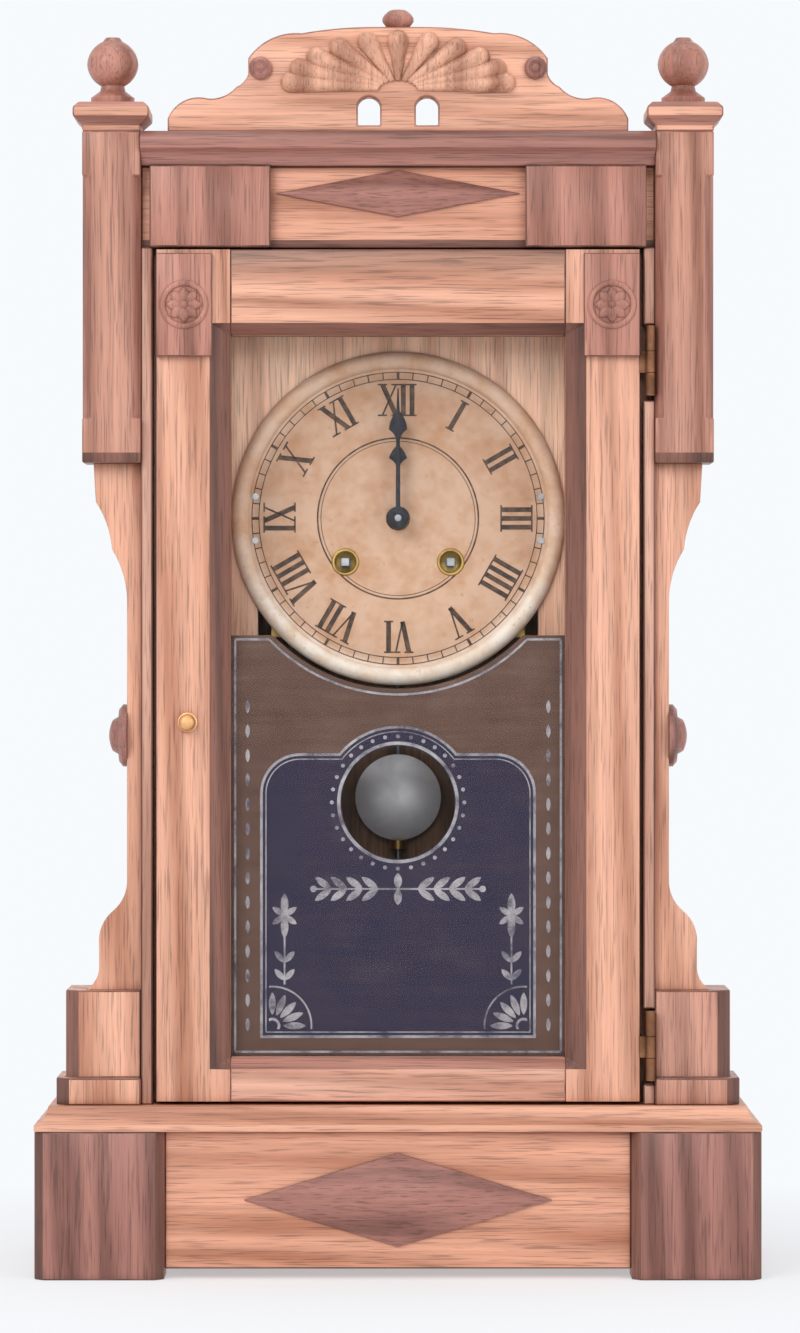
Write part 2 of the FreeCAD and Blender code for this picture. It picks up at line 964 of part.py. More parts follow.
latch_hole = rod(
    "latch_hole",
    (-S.latch_place, door_front, latch_z),
    "back",
    S.latch_shank + S.running_fit,
    S.door_thickness,
)
node(
    group(
        "stiles",
        without("stile_right", stile_right, bevel, rebate),
        without("stile_left", stile_left, bevel, rebate, latch_hole),
    ),
    "door_stiles",
)
top_rail = block("top_rail_blank", (-sight, sight), door_y, (sight_high, door_high))
node(without("top_rail", top_rail, bevel, rebate), "door_top_rail")
bottom_rail = block("bottom_rail_blank", (-sight, sight), door_y, (door_low, sight_low))
node(without("bottom_rail", bottom_rail, bevel, rebate), "door_bottom_rail")
glass_half = sight + S.rebate_width
glass_low, glass_high = sight_low - S.rebate_width, sight_high + S.rebate_width
glass_back = rebate_front + S.glass_thickness
pane = block("pane", (-glass_half, glass_half), (rebate_front, glass_back), (glass_low, glass_high))
node(pane, "door_glass")
bead_y = (glass_back, door_back)
bead_side = block("bead_side", (sight, glass_half), bead_y, (glass_low, glass_high))
bead_low = block("bead_low", (-sight, sight), bead_y, (glass_low, sight_low))
bead_high = block("bead_high", (-sight, sight), bead_y, (sight_high, glass_high))
node(group("beads", bead_side, mirrored("bead_left", bead_side), bead_low, bead_high), "glass_beads")

corner_high = door_high - S.corner_block_drop
corner_low = corner_high - S.corner_block_height
corner_front = door_front - S.corner_block_proud
corner_block = block(
    "corner_block", (door_half - S.corner_block_width, door_half), (corner_front, door_front), (corner_low, corner_high)
)
roundel_radius, rise = S.roundel_radius, S.roundel_rise
roundel_outline = (
    (0, 0),
    (roundel_radius, 0),
    (roundel_radius, rise * 0.5),
    (roundel_radius * 0.8, rise * 0.8),
    (roundel_radius * 0.55, rise * 0.3),
    (roundel_radius * 0.4, rise),
    (0, rise),
)
roundel_place = (door_half - S.corner_block_width / 2, corner_front, (corner_low + corner_high) / 2)
roundel = turned("roundel", roundel_outline, roundel_place, "front")
corner_blocks = group(
    "corner_blocks", corner_block, mirrored("corner_block_left", corner_block), roundel, mirrored("roundel_left", roundel)
)
node(corner_blocks, "door_corner_blocks")

# Hinges on the right: two knuckles on the case, one on the door, and a pin through them

hinge_x = door_half + S.hinge_out
hinge_y = door_front - S.hinge_forward
leaf = S.leaf_thickness
knuckle_fit = S.pin_radius + S.running_fit


def knuckle(name, low, high, piece):
    """A round knuckle joined to its leaf and bored for the pin."""
    barrel = rod(name + "_barrel", (hinge_x, hinge_y, low), "up", S.knuckle_radius, high - low)
    bore = rod(name + "_bore", (hinge_x, hinge_y, low), "up", knuckle_fit, high - low)
    return without(name, fused(name + "_solid", barrel, *piece), bore)


case_leaves, door_leaves, pins = [], [], []
for name, above in (("low", S.hinge_low), ("high", S.hinge_high)):
    low = floor + above - S.hinge_height / 2
    high = low + S.hinge_height
    third = S.hinge_height / 3
    plate_x = (case_half - leaf, case_half)
    for end, z in (("foot", (low, low + third)), ("head", (high - third, high))):
        piece = block(f"case_leaf_{name}_{end}", plate_x, (hinge_y, hinge_y + S.leaf_width), z)
        case_leaves.append(knuckle(f"case_knuckle_{name}_{end}", *z, [piece]))
    middle = (low + third + S.free_gap, high - third - S.free_gap)
    edge_x = (door_half, door_half + leaf)
    web_y = (hinge_y + S.knuckle_radius - leaf, hinge_y + S.knuckle_radius)
    wing_piece = block(f"door_leaf_{name}", edge_x, (web_y[0], hinge_y + S.leaf_width), middle)
    web = block(f"door_web_{name}", (door_half, hinge_x), web_y, middle)
    door_leaves.append(knuckle(f"door_knuckle_{name}", *middle, [wing_piece, web]))
    pin = rod(f"hinge_pin_{name}", (hinge_x, hinge_y, low), "up", S.pin_radius, S.hinge_height)
    head = rod(f"hinge_pin_head_{name}", (hinge_x, hinge_y, high), "up", S.knuckle_radius, leaf)
    pins.append(fused(f"pin_{name}", pin, head))
node(group("case_leaves", *case_leaves, *pins), "hinge_leaves_case")
node(group("door_leaves", *door_leaves), "hinge_leaves_door")

# Latch: a turned knob whose shank carries a flat arm that turns behind a catch on the case

arm_front = door_back + S.latch_plate * 2.5
arm_back = arm_front + S.latch_plate
shank = S.latch_shank
knob_base = arm_back - door_front + S.running_fit * 2
latch_at = (-S.latch_place, arm_back, latch_z)
door_knob = turned(
    "latch_knob",
    (
        (0, 0),
        (shank, 0),
        (shank, knob_base),
        (shank * 2.2, knob_base),
        (shank * 2.2, knob_base + shank * 0.5),
        (shank * 1.1, knob_base + shank),
        (shank * 1.1, knob_base + shank * 1.4),
        (shank * 1.9, knob_base + shank * 2.5),
        (shank * 1.2, knob_base + shank * 3.6),
        (0, knob_base + shank * 3.8),
    ),
    latch_at,
    "front",
    {6: shank * 1.6, 7: shank * 1.4},
)
node(door_knob, "door_knob")
half_arm = S.latch_arm / 2
arm_x = (-S.latch_place - half_arm, -S.latch_place + half_arm)
arm_z = (latch_z - half_arm, latch_z + S.latch_reach)
arm = block("latch_arm", arm_x, (arm_front, arm_back), arm_z)
arm_bore = rod("latch_arm_bore", (-S.latch_place, arm_front, latch_z), "back", shank, S.latch_plate)
node(without("latch_cam", arm, arm_bore), "door_catch")
catch_z = (latch_z - S.catch_width / 2, latch_z + S.catch_width / 2)
lip_y = (case_front + S.latch_plate, case_front + S.latch_plate + leaf)
catch = fused(
    "catch",
    block("catch_flange", (-case_inside, leaf - case_inside), (lip_y[0], lip_y[0] + S.leaf_width), catch_z),
    block("catch_lip", (-case_inside, S.catch_lip - case_inside), lip_y, catch_z),
)
node(catch, "catch_plate")

# Jamb strips between the door and the posts, the right one in three lengths that leave the hinges free

jamb_y = (case_front - S.jamb_depth, case_front)
half_hinge = S.hinge_height / 2 + S.jamb_clear
jamb_ends = (
    floor,
    floor + S.hinge_low - half_hinge,
    floor + S.hinge_low + half_hinge,
    floor + S.hinge_high - half_hinge,
    floor + S.hinge_high + half_hinge,
    frieze_low,
)
jambs = [block("jamb_left", (-case_half, S.jamb_width - case_half), jamb_y, (floor, frieze_low))]
for i in range(0, len(jamb_ends), 2):
    jambs.append(block(f"jamb_right_{i}", (case_half - S.jamb_width, case_half), jamb_y, jamb_ends[i : i + 2]))
node(group("case_sides", case_side, mirrored("case_side_left", case_side), *jambs), "case_sides")

# Dial on two cleats, with a spandrel board in each upper corner behind it

dial_z = floor + S.dial_rise
dial_back = front + S.dial_depth + S.cleat_thickness / 2
dial_front = dial_back - S.dial_sheet
dial_edge, bead = S.dial_radius, S.dial_bead
dial_blank = turned(
    "dial_blank",
    (
        (S.dial_hole, 0),
        (dial_edge, 0),
        (dial_edge, S.dial_sheet),
        (dial_edge - bead, S.dial_sheet),
        (S.dial_hole, S.dial_sheet),
    ),
    (0, dial_back, dial_z),
    "front",
    {2: dome(bead / 2, S.dial_bead_rise)},
)
main_z = dial_z - S.main_drop
dial_holes = [
    rod(f"winding_hole_{i}", (x, dial_front, main_z), "back", S.winding_hole, S.dial_sheet)
    for i, x in enumerate((-S.main_place, S.main_place))
]
screw_places = [
    (S.dial_screw_place * side, dial_z + S.dial_screw_rise * up) for side in (-1, 1) for up in (-1, 1)
]
small_screw = S.screw_radius / 2
screw_depth = S.cleat_thickness / 2
screw_bores = [
    rod(f"dial_screw_bore_{i}", (x, dial_front, z), "back", small_screw + S.running_fit, screw_depth)
    for i, (x, z) in enumerate(screw_places)
]
node(without("dial", dial_blank, *dial_holes, *screw_bores), "dial_pan")
cleat_y = (dial_back, dial_back + S.cleat_thickness)
cleat_z = (dial_z - S.cleat_below, dial_z + S.cleat_above)
cleats = []
for i, side in enumerate((-1, 1)):
    limits = sorted((case_inside * side, (case_inside - S.cleat_width) * side), key=num)
    cleat = block(f"cleat_blank_{i}", limits, cleat_y, cleat_z)
    cleats.append(without(f"cleat_{i}", cleat, *screw_bores[2 * i : 2 * i + 2]))
spandrel_blank = block(
    "spandrel_blank",
    (0, case_inside - S.cleat_width),
    (dial_back, dial_back + S.spandrel_board),
    (dial_z + S.spandrel_low, dial_z + S.cleat_above),
)
spandrel_bore = rod("spandrel_bore", (0, dial_back, dial_z), "back", S.spandrel_radius, S.spandrel_board)
spandrel = without("spandrel", spandrel_blank, spandrel_bore)
node(group("cleats", *cleats, spandrel, mirrored("spandrel_left", spandrel)), "dial_cleats")

# Movement: its arbors, given by their names as points in X and Z

plate_back = board_front - S.standoff_length
back_inside = plate_back - S.plate_thickness
front_inside = back_inside - S.plate_gap
plate_front = front_inside - S.plate_thickness
ARBORS = {
    "centre": (0, 0),
    "time_main": (S.main_place, -S.main_drop),
    "third": (S.third_place, S.escape_rise / 2),
    "escape": (0, S.escape_rise),
    "verge": (0, S.verge_rise),
    "motion": (S.motion_place, S.motion_place),
    "strike_main": (-S.main_place, -S.main_drop),
    "second": (-S.second_place, S.second_rise),
    "warning": (-S.warning_place, S.warning_rise),
    "fly": (-S.fly_place, S.fly_rise),
    "hammer": (-S.hammer_place, -S.hammer_drop),
}
WINDING = ("time_main", "strike_main")


def at(name):
    """Where an arbor stands, in X and Z."""
    x, up = ARBORS[name]
    return as_size(x), dial_z + up


standoff_places = [
    (S.standoff_place * side, dial_z + up) for side in (-1, 1) for up in (S.standoff_above, -S.standoff_below)
]
pillar_places = [
    (S.pillar_place * side, dial_z + up) for side in (-1, 1) for up in (S.pillar_above, -S.pillar_below)
]


def bored_plate(name, y, holes):
    """A plate with its upper corners cut off, bored at (x, z, radius)."""
    half, cut = S.plate_half_width, S.plate_corner
    low, high = dial_z - S.plate_below, dial_z + S.plate_above
    outline = (
        (-half, low),
        (half, low),
        (half, high - cut),
        (half - cut, high),
        (cut - half, high),
        (-half, high - cut),
    )
    blank = sawn(name + "_blank", outline, (y, y + S.plate_thickness))
    bores = [
        rod(f"{name}_bore_{i}", (x, y, z), "back", radius, S.plate_thickness)
        for i, (x, z, radius) in enumerate(holes)
    ]
    return without(name, blank, *bores)


def pivot_holes(skip=()):
    fit = S.running_fit
    sizes = {"centre": S.centre_radius, "time_main": S.winding_radius, "strike_main": S.winding_radius}
    return [
        (*at(name), sizes.get(name, S.pivot_radius) + fit)
        for name in ARBORS
        if name not in skip and name != "motion"
    ]


front_holes = pivot_holes() + [(x, z, S.pillar_tip + S.running_fit) for x, z in pillar_places]
back_holes = pivot_holes() + [(x, z, S.screw_radius + S.running_fit) for x, z in standoff_places]
stud_x, stud_z = at("motion")
stud_length = plate_front - dial_back - S.wheel_thickness * 2
stud = rod("motion_stud", (stud_x, plate_front, stud_z), "front", S.pivot_radius, stud_length)
node(fused("front_plate_studded", bored_plate("front_plate_bored", plate_front, front_holes), stud), "front_plate")
node(bored_plate("back_plate_bored", back_inside, back_holes), "back_plate")
pillars = []
for i, (x, z) in enumerate(pillar_places):
    bar = rod(f"pillar_bar_{i}", (x, front_inside, z), "back", S.pillar_radius, S.plate_gap)
    tip_length = S.plate_thickness * 2.5
    tip = rod(f"pillar_tip_{i}", (x, front_inside, z), "front", S.pillar_tip, tip_length)
    pillars.append(fused(f"pillar_{i}", bar, tip))
node(group("pillars", *pillars), "plate_pillars")
standoffs, screws = [], []
screw_end = S.standoff_length * 0.9
for i, (x, z) in enumerate(standoff_places):
    post = rod(f"standoff_bar_{i}", (x, plate_back, z), "back", S.standoff_radius, S.standoff_length)
    bore = rod(f"standoff_bore_{i}", (x, plate_back, z), "back", S.screw_radius + S.running_fit, S.standoff_length)
    standoffs.append(without(f"standoff_{i}", post, bore))
    head = rod(f"screw_head_{i}", (x, back_inside, z), "front", S.screw_head, S.screw_radius)
    body = rod(f"screw_body_{i}", (x, back_inside, z), "back", S.screw_radius, S.plate_thickness + screw_end)
    screws.append(fused(f"screw_{i}", head, body))
for i, (x, z) in enumerate(screw_places):
    head = rod(f"dial_screw_head_{i}", (x, dial_front, z), "front", small_screw * 2, small_screw)
    body = rod(f"dial_screw_body_{i}", (x, dial_front, z), "back", small_screw, screw_depth * 0.9)
    screws.append(fused(f"dial_screw_{i}", head, body))
node(group("standoffs", *standoffs), "movement_posts")
node(group("screw_set", *screws), "screws")

# Shapes for the trains, worked out from the sheet's values

y_front, y_back = num(front_inside), num(back_inside)


def spot(name, y):
    x, z = at(name)
    return Vector(num(x), y, num(z))


def bar(name, y_low, y_high, radius):
    """A round shaft on an arbor between two y places."""
    return Part.makeCylinder(num(radius), y_high - y_low, spot(name, y_low), Vector(0, 1, 0))


def flat_plate(points, y_low, y_high):
    """An outline of X and Z points, thick in Y."""
    ring = [Vector(x, y_low, z) for x, z in points]
    face = Part.Face(Part.makePolygon(ring + ring[:1]))
    return face.extrude(Vector(0, y_high - y_low, 0))


def gap_between(first, second):
    """The distance of two arbors and the direction from one to the other."""
    way = spot(second, 0) - spot(first, 0)
    return way.Length, math.atan2(way.z, way.x)


def toothed(name, teeth, module, profile, direction, y_low, y_high):
    """A toothed disc with one tooth pointing in a direction."""
    middle = spot(name, y_low)
    points = []
    for i in range(teeth):
        aim = direction + 2 * math.pi * i / teeth
        flank = [(module * (teeth / 2 + out), module * half) for out, half in profile]
        sides = [(r, -w / r) for r, w in flank] + [(r, w / r) for r, w in reversed(flank)]
        for radius, turn in sides:
            points.append((middle.x + radius * math.cos(aim + turn), middle.z + radius * math.sin(aim + turn)))
    return flat_plate(points, y_low, y_high)


def crossed(wheel, name, inner, outer, y_low, y_high):
    """Cuts windows between the arms of a wheel."""
    middle = spot(name, y_low)
    arm = 0.16 * outer
    for i in range(CROSSINGS):
        corners = []
        for radius, sides in ((inner, (-1, 1)), (outer, (1, -1))):
            spread = math.pi / CROSSINGS - math.asin(min(arm / 2 / radius, 0.9))
            corners.append([2 * math.pi * i / CROSSINGS + side * spread for side in sides])
        points = []
        for radius, (start, end) in zip((inner, outer), corners):
            for step in range(5):
                aim = start + (end - start) * step / 4
                points.append((middle.x + radius * math.cos(aim), middle.z + radius * math.sin(aim)))
        wheel = wheel.cut(flat_plate(points, y_low - 1, y_high + 1))
    return wheel


def wheel_for(name, partner, teeth, leaves, y_low, y_high):
    """A crossed wheel that drives the pinion on a partner arbor."""
    distance, direction = gap_between(name, partner)
    module = 2 * distance / (teeth + leaves)
    disc = toothed(name, teeth, module, WHEEL_TOOTH, direction, y_low, y_high)
    rim = module * (teeth / 2 - 4.5)
    return crossed(disc, name, rim * 0.3, rim, y_low, y_high)


def pinion_for(name, partner, teeth, leaves, y_low, y_high):
    """A pinion on this arbor, one gap facing the tooth of the wheel on a partner arbor."""
    distance, direction = gap_between(name, partner)
    module = 2 * distance / (teeth + leaves)
    return toothed(name, leaves, module, PINION_LEAF, direction + math.pi / leaves, y_low, y_high)


def shaft(name):
    """An arbor between the plates with a pivot in each."""
    shake, thick = num(S.end_shake), num(S.plate_thickness)
    long_bar = bar(name, y_front - thick, y_back + thick, S.pivot_radius)
    return long_bar.fuse(bar(name, y_front + shake, y_back - shake, S.arbor_radius))


def bored(shape, name, radius, y_low, y_high):
    return shape.cut(bar(name, y_low - 1, y_high + 1, radius))


def levels(level, thickness):
    low = y_front + num(level)
    return low, low + num(thickness)


def around(span):
    """A pinion's y limits: a little wider than the wheel that it meets."""
    over = num(S.pinion_overlap)
    return span[0] - over, span[1] + over


def joined(first, *others):
    return first.fuse(list(others)).removeSplitter()


time_main = levels(S.time_main_level, S.main_wheel_thickness)
centre = levels(S.centre_level, S.wheel_thickness)
third = levels(S.third_level, S.wheel_thickness)
escape = levels(S.escape_level, S.wheel_thickness)
strike_main = levels(S.strike_main_level, S.main_wheel_thickness)
second = levels(S.third_level, S.wheel_thickness)
warning = levels(S.warning_level, S.wheel_thickness)
spring = levels(S.spring_level, S.spring_width)
thick = num(S.hand_thickness)
fit = num(S.running_fit)
plate_face, dial_face = num(plate_front), num(dial_front)
hour_face, minute_face = dial_face - num(S.hour_hand_front), dial_face - num(S.minute_hand_front)

# Time train

wheel_sheet = num(S.wheel_thickness)
motion_back = plate_face - num(S.motion_before_plate)
hour_back = plate_face - num(S.hour_before_plate)
motion_wheel = (motion_back - wheel_sheet, motion_back)
hour_wheel = (hour_back - wheel_sheet, hour_back)
motion_pinion = (hour_wheel[0] - num(S.motion_pinion_proud), motion_wheel[0])
cannon_spare = num(S.pinion_overlap) / 2
cannon = (motion_wheel[0] - cannon_spare, motion_wheel[1] + cannon_spare)
centre_shape = joined(
    bar("centre", minute_face - thick, y_back + num(S.plate_thickness), S.centre_radius),
    wheel_for("centre", "third", CENTRE, LEAVES, *centre),
    pinion_for("centre", "time_main", TIME_MAIN, LEAVES, *around(time_main)),
    pinion_for("centre", "motion", MINUTE, CANNON, *cannon),
)
node(feature("centre_arbor", centre_shape), "centre_arbor")
motion_bore = num(S.pivot_radius) + fit
minute_shape = joined(
    wheel_for("motion", "centre", MINUTE, CANNON, *motion_wheel),
    bar("motion", *motion_wheel, motion_bore * 2.2),
    pinion_for("motion", "centre", HOUR, MINUTE_PINION, *motion_pinion),
)
node(feature("minute_wheel", bored(minute_shape, "motion", motion_bore, motion_pinion[0], motion_wheel[1])), "minute_wheel")
pipe_bore = num(S.centre_radius) + fit
pipe_radius = num(S.centre_radius + S.hour_pipe_wall)
hour_shape = joined(
    wheel_for("centre", "motion", HOUR, MINUTE_PINION, *hour_wheel),
    bar("centre", *hour_wheel, pipe_radius * 1.6),
    bar("centre", hour_face - thick, hour_wheel[1], pipe_radius),
)
node(feature("hour_wheel", bored(hour_shape, "centre", pipe_bore, hour_face - thick, hour_wheel[1])), "hour_wheel")

third_shape = joined(
    shaft("third"),
    wheel_for("third", "escape", THIRD, LEAVES, *third),
    pinion_for("third", "centre", CENTRE, LEAVES, *around(centre)),
)
node(feature("third_wheel", third_shape), "third_wheel")


def saw_toothed(name, teeth, tip, depth, span, lean):
    """A disc with pointed teeth that lean one way."""
    middle = spot(name, 0)
    points = []
    for i in range(teeth):
        for radius, turn in ((tip - depth, 0.0), (tip, lean)):
            aim = 2 * math.pi * (i + turn) / teeth
            points.append((middle.x + radius * math.cos(aim), middle.z + radius * math.sin(aim)))
    return flat_plate(points, *span)


escape_disc = saw_toothed("escape", ESCAPE, num(S.escape_radius), num(S.escape_tooth), escape, ESCAPE_LEAN)
escape_disc = crossed(escape_disc, "escape", num(S.escape_radius) * 0.3, num(S.escape_radius) * 0.72, *escape)
escape_pinion = pinion_for("escape", "third", THIRD, LEAVES, *around(third))
node(feature("escape_wheel", joined(shaft("escape"), escape_disc, escape_pinion)), "escape_wheel")


def main_wheel(name, partner, teeth, span):
    """A main wheel that turns freely on its winding arbor."""
    disc = wheel_for(name, partner, teeth, LEAVES, *span)
    return bored(disc, name, num(S.winding_radius) + fit, *span)


def winding_arbor(name, ratchet_level):
    """A winding arbor with its square, which comes through the dial, and its ratchet."""
    square = num(S.winding_square)
    middle = spot(name, dial_face - num(S.winding_proud))
    length = plate_face - middle.y
    key_end = Part.makeBox(square, length, square, middle - Vector(square / 2, 0, square / 2))
    ratchet_levels = levels(ratchet_level, S.main_wheel_thickness)
    ratchet = saw_toothed(name, RATCHET, num(S.ratchet_radius), num(S.ratchet_tooth), ratchet_levels, RATCHET_LEAN)
    return joined(bar(name, plate_face, y_back + num(S.plate_thickness), S.winding_radius), key_end, ratchet)


def spiral_strip(name, span):
    """A wound mainspring: half-turn arcs about two centres, as one strip."""
    pitch, half = num(S.spring_pitch), num(S.spring_strip) / 2
    start = num(S.winding_radius + S.free_gap) + half
    middle = spot(name, span[0])
    sides = []
    for shift in (half, -half):
        arcs = []
        for i in range(2 * int(num(S.spring_turns))):
            centre_x = middle.x + (pitch / 2 if i % 2 else 0)
            radius = start + shift + i * pitch / 2
            way = -1 if i % 2 else 1
            ends = [Vector(centre_x + radius * way * k, middle.y, middle.z) for k in (1, -1)]
            arcs.append(Part.Arc(ends[0], Vector(centre_x, middle.y, middle.z + radius * way), ends[1]))
        sides.append(arcs)
    outer, inner = sides
    edges = [arc.toShape() for arc in outer + inner]
    caps = [(outer[0].StartPoint, inner[0].StartPoint), (outer[-1].EndPoint, inner[-1].EndPoint)]
    edges += [Part.makeLine(first, last) for first, last in caps]
    face = Part.Face(Part.Wire(Part.__sortEdges__(edges)))
    return face.extrude(Vector(0, span[1] - span[0], 0))


node(feature("time_main_wheel", main_wheel("time_main", "centre", TIME_MAIN, time_main)), "time_main_wheel")
node(feature("time_winding_arbor", winding_arbor("time_main", S.ratchet_level)), "time_winding_arbor")
springs = [spiral_strip(name, spring) for name in WINDING]
node(feature("mainsprings", Part.makeCompound(springs)), "mainsprings")

# Strike train

node(
    feature("strike_main_wheel", main_wheel("strike_main", "second", STRIKE_MAIN, strike_main)), "strike_main_wheel"
)
strike_winding = winding_arbor("strike_main", S.strike_ratchet_level)
node(feature("strike_winding_arbor", strike_winding), "strike_winding_arbor")
second_shape = joined(
    shaft("second"),
    wheel_for("second", "warning", SECOND, LEAVES, *second),
    pinion_for("second", "strike_main", STRIKE_MAIN, LEAVES, *around(strike_main)),
)
node(feature("strike_second_wheel", second_shape), "strike_second_wheel")
warning_shape = joined(
    shaft("warning"),
    wheel_for("warning", "fly", WARNING, LEAVES, *warning),
    pinion_for("warning", "second", SECOND, LEAVES, *around(second)),
)
node(feature("strike_warning_wheel", warning_shape), "strike_warning_wheel")
blades = levels(S.fly_blade_level, S.fly_blade_width)
fly_at = spot("fly", blades[0])
blade_half = num(S.wheel_thickness) / 2
blade = Part.makeBox(
    2 * num(S.fly_reach), blades[1] - blades[0], 2 * blade_half, fly_at - Vector(num(S.fly_reach), 0, blade_half)
)
fly_shape = joined(shaft("fly"), blade, pinion_for("fly", "warning", WARNING, LEAVES, *around(warning)))
node(feature("strike_fly", fly_shape), "strike_fly")

# Hands


def hand(name, length, bore, face):
    """A slim hand with a spade near its point, bored for its pipe."""
    hub, stem, spade = S.hand_hub, S.hand_stem, S.hand_spade
    right = (
        (stem, dial_z),
        (stem * 0.8, dial_z + length * 0.6),
        (spade, dial_z + length * 0.68),
        (stem * 0.7, dial_z + length * 0.82),
        (stem * 0.25, dial_z + length),
    )
    left = tuple((-u, v) for u, v in reversed(right))
    y = (face - S.hand_thickness, face)
    arcs = {1: spade * -1.6, 2: spade * 3.2, 6: spade * 3.2, 7: spade * -1.6}
    blade_piece = sawn(name + "_blade", right + left, y, arcs)
    boss_piece = rod(name + "_boss", (0, y[1], dial_z), "front", hub, S.hand_thickness)
    hole_piece = rod(name + "_hole", (0, y[1], dial_z), "front", bore, S.hand_thickness)
    return without(name, fused(name + "_solid", blade_piece, boss_piece), hole_piece)


hour_hand = hand("hour_hand_cut", S.hour_hand, S.centre_radius + S.hour_pipe_wall, dial_front - S.hour_hand_front)
node(hour_hand, "hour_hand")
minute_hand = hand("minute_hand_cut", S.minute_hand, S.centre_radius, dial_front - S.minute_hand_front)
node(minute_hand, "minute_hand")

# Pendulum on its suspension, with the verge that it moves

axis_z = dial_z + S.verge_rise
pendulum_y = board_front - S.pendulum_depth
strip_half = S.suspension_strip / 2
width_half = S.suspension_width / 2
strip_low = axis_z - S.suspension_length
cock_y = (pendulum_y - width_half - S.free_gap, pendulum_y + width_half + S.free_gap)
cock_top = axis_z + S.cock_height
cock = S.cock_half_width
slot_half = S.suspension_slot / 2
arm_low = axis_z + S.pillar_radius + S.pivot_radius
cock_solid = fused(
    "cock_solid",
    block("cock_arm", (-cock, cock), (plate_back, cock_y[1]), (arm_low, cock_top + S.pillar_radius)),
    block("cock_jaw", (-cock, cock), cock_y, (axis_z - S.pivot_radius, cock_top)),
)
slot = block("cock_slot", (-slot_half, slot_half), cock_y, (axis_z - S.pivot_radius, cock_top - S.pivot_radius))
node(without("suspension_cock_cut", cock_solid, slot), "suspension_cock")
bob_z = axis_z - S.pendulum_length
rod_low = bob_z - S.bob_radius - S.rating_height * 2.5
strip_y = (pendulum_y - width_half, pendulum_y + width_half)
strip = block("suspension_strip_blank", (-strip_half, strip_half), strip_y, (strip_low, axis_z + S.pillar_radius))
wire = rod("pendulum_wire", (0, pendulum_y, rod_low), "up", S.rod_radius, strip_low - rod_low + S.rod_radius)
node(fused("pendulum_rod_whole", strip, wire), "pendulum_rod")
half_bob, rim = S.bob_thickness / 2, S.bob_rim / 2
bob_round = turned(
    "bob_round",
    ((0, -half_bob), (S.bob_radius, -rim), (S.bob_radius, rim), (0, half_bob)),
    (0, pendulum_y, bob_z),
    "front",
    {0: dome(S.bob_radius, half_bob - rim), 2: dome(S.bob_radius, half_bob - rim)},
)
bob_bore = rod(
    "bob_bore", (0, pendulum_y, bob_z - S.bob_radius), "up", S.rod_radius + S.running_fit, S.bob_radius * 2
)
node(without("bob", bob_round, bob_bore), "pendulum_bob")
nut_high = bob_z - S.bob_radius - S.running_fit
nut_low = nut_high - S.rating_height
nut = rod("rating_nut_round", (0, pendulum_y, nut_low), "up", S.rating_radius, S.rating_height)
nut_bore = rod("rating_nut_bore", (0, pendulum_y, nut_low), "up", S.rod_radius + S.running_fit, S.rating_height)
node(without("rating_nut_cut", nut, nut_bore), "rating_nut")


def verge_shape():
    """An anchor over the escape wheel, its arbor, and a crutch with a fork round the pendulum rod."""
    middle = spot("verge", 0)
    span, drop, depth = num(S.pallet_span), num(S.pallet_drop), num(S.pallet_depth)
    hub = num(S.arbor_radius) * 2
    right = ((0, hub), (span * 0.8, -drop * 0.2), (span + depth, -drop), (span, -drop), (span * 0.7, -drop * 0.45))
    outline = list(right) + [(0, -hub)] + [(-u, v) for u, v in reversed(right[1:])]
    anchor = flat_plate([(middle.x + u, middle.z + v) for u, v in outline], escape[0], escape[1])
    rear, sheet_thick = num(plate_back) + num(S.plate_thickness), num(S.crutch_sheet)
    half, length = num(S.crutch_half_width), num(S.crutch_length)
    fork_in = num(S.rod_radius + S.free_gap)
    fork_out = fork_in + sheet_thick
    foot = middle.z - length
    reach = num(pendulum_y) + num(S.rod_radius) - rear
    pieces = [
        anchor,
        bar("verge", y_front - num(S.plate_thickness), rear + sheet_thick, S.pivot_radius),
        Part.makeBox(2 * half, sheet_thick, length + hub, Vector(-half, rear, foot)),
        Part.makeBox(2 * fork_out, sheet_thick, half * 2, Vector(-fork_out, rear, foot)),
    ]
    for x in (fork_in, -fork_out):
        pieces.append(Part.makeBox(sheet_thick, reach, half * 2, Vector(x, rear, foot)))
    return joined(bar("verge", y_front + num(S.end_shake), y_back - num(S.end_shake), S.arbor_radius), *pieces)


node(feature("verge", verge_shape()), "verge")

# Gong and hammer


def gong_shape():
    """A flat coil of half-turn arcs about two centres, held at its middle by a post on the back board."""
    pitch = num(S.gong_pitch)
    y, z = num(board_front - S.gong_depth), num(floor + S.gong_rise)
    arcs = []
    for i in range(2 * int(num(S.gong_turns))):
        centre_x = pitch / 2 if i % 2 else 0
        radius = num(S.gong_inner) + i * pitch / 2
        way = -1 if i % 2 else 1
        ends = [Vector(centre_x + radius * way * k, y, z) for k in (1, -1)]
        arcs.append(Part.Arc(ends[0], Vector(centre_x, y, z + radius * way), ends[1]).toShape())
    path = Part.Wire(arcs)
    start = Vector(num(S.gong_inner), y, z)
    profile = Part.Wire([Part.makeCircle(num(S.gong_wire), start, Vector(0, 0, 1))])
    coil = path.makePipeShell([profile], True, False)
    post_start, way = Vector(0, y - num(S.gong_wire) * 2, z), Vector(0, 1, 0)
    post = Part.makeCylinder(num(S.gong_post), num(board_front) - post_start.y, post_start, way)
    thick = num(S.gong_foot_thickness)
    foot = Part.makeCylinder(num(S.gong_foot), thick, Vector(0, num(board_front) - thick, z), way)
    return Part.makeCompound([coil, post.fuse(foot).removeSplitter()])


node(feature("gong", gong_shape()), "gong")


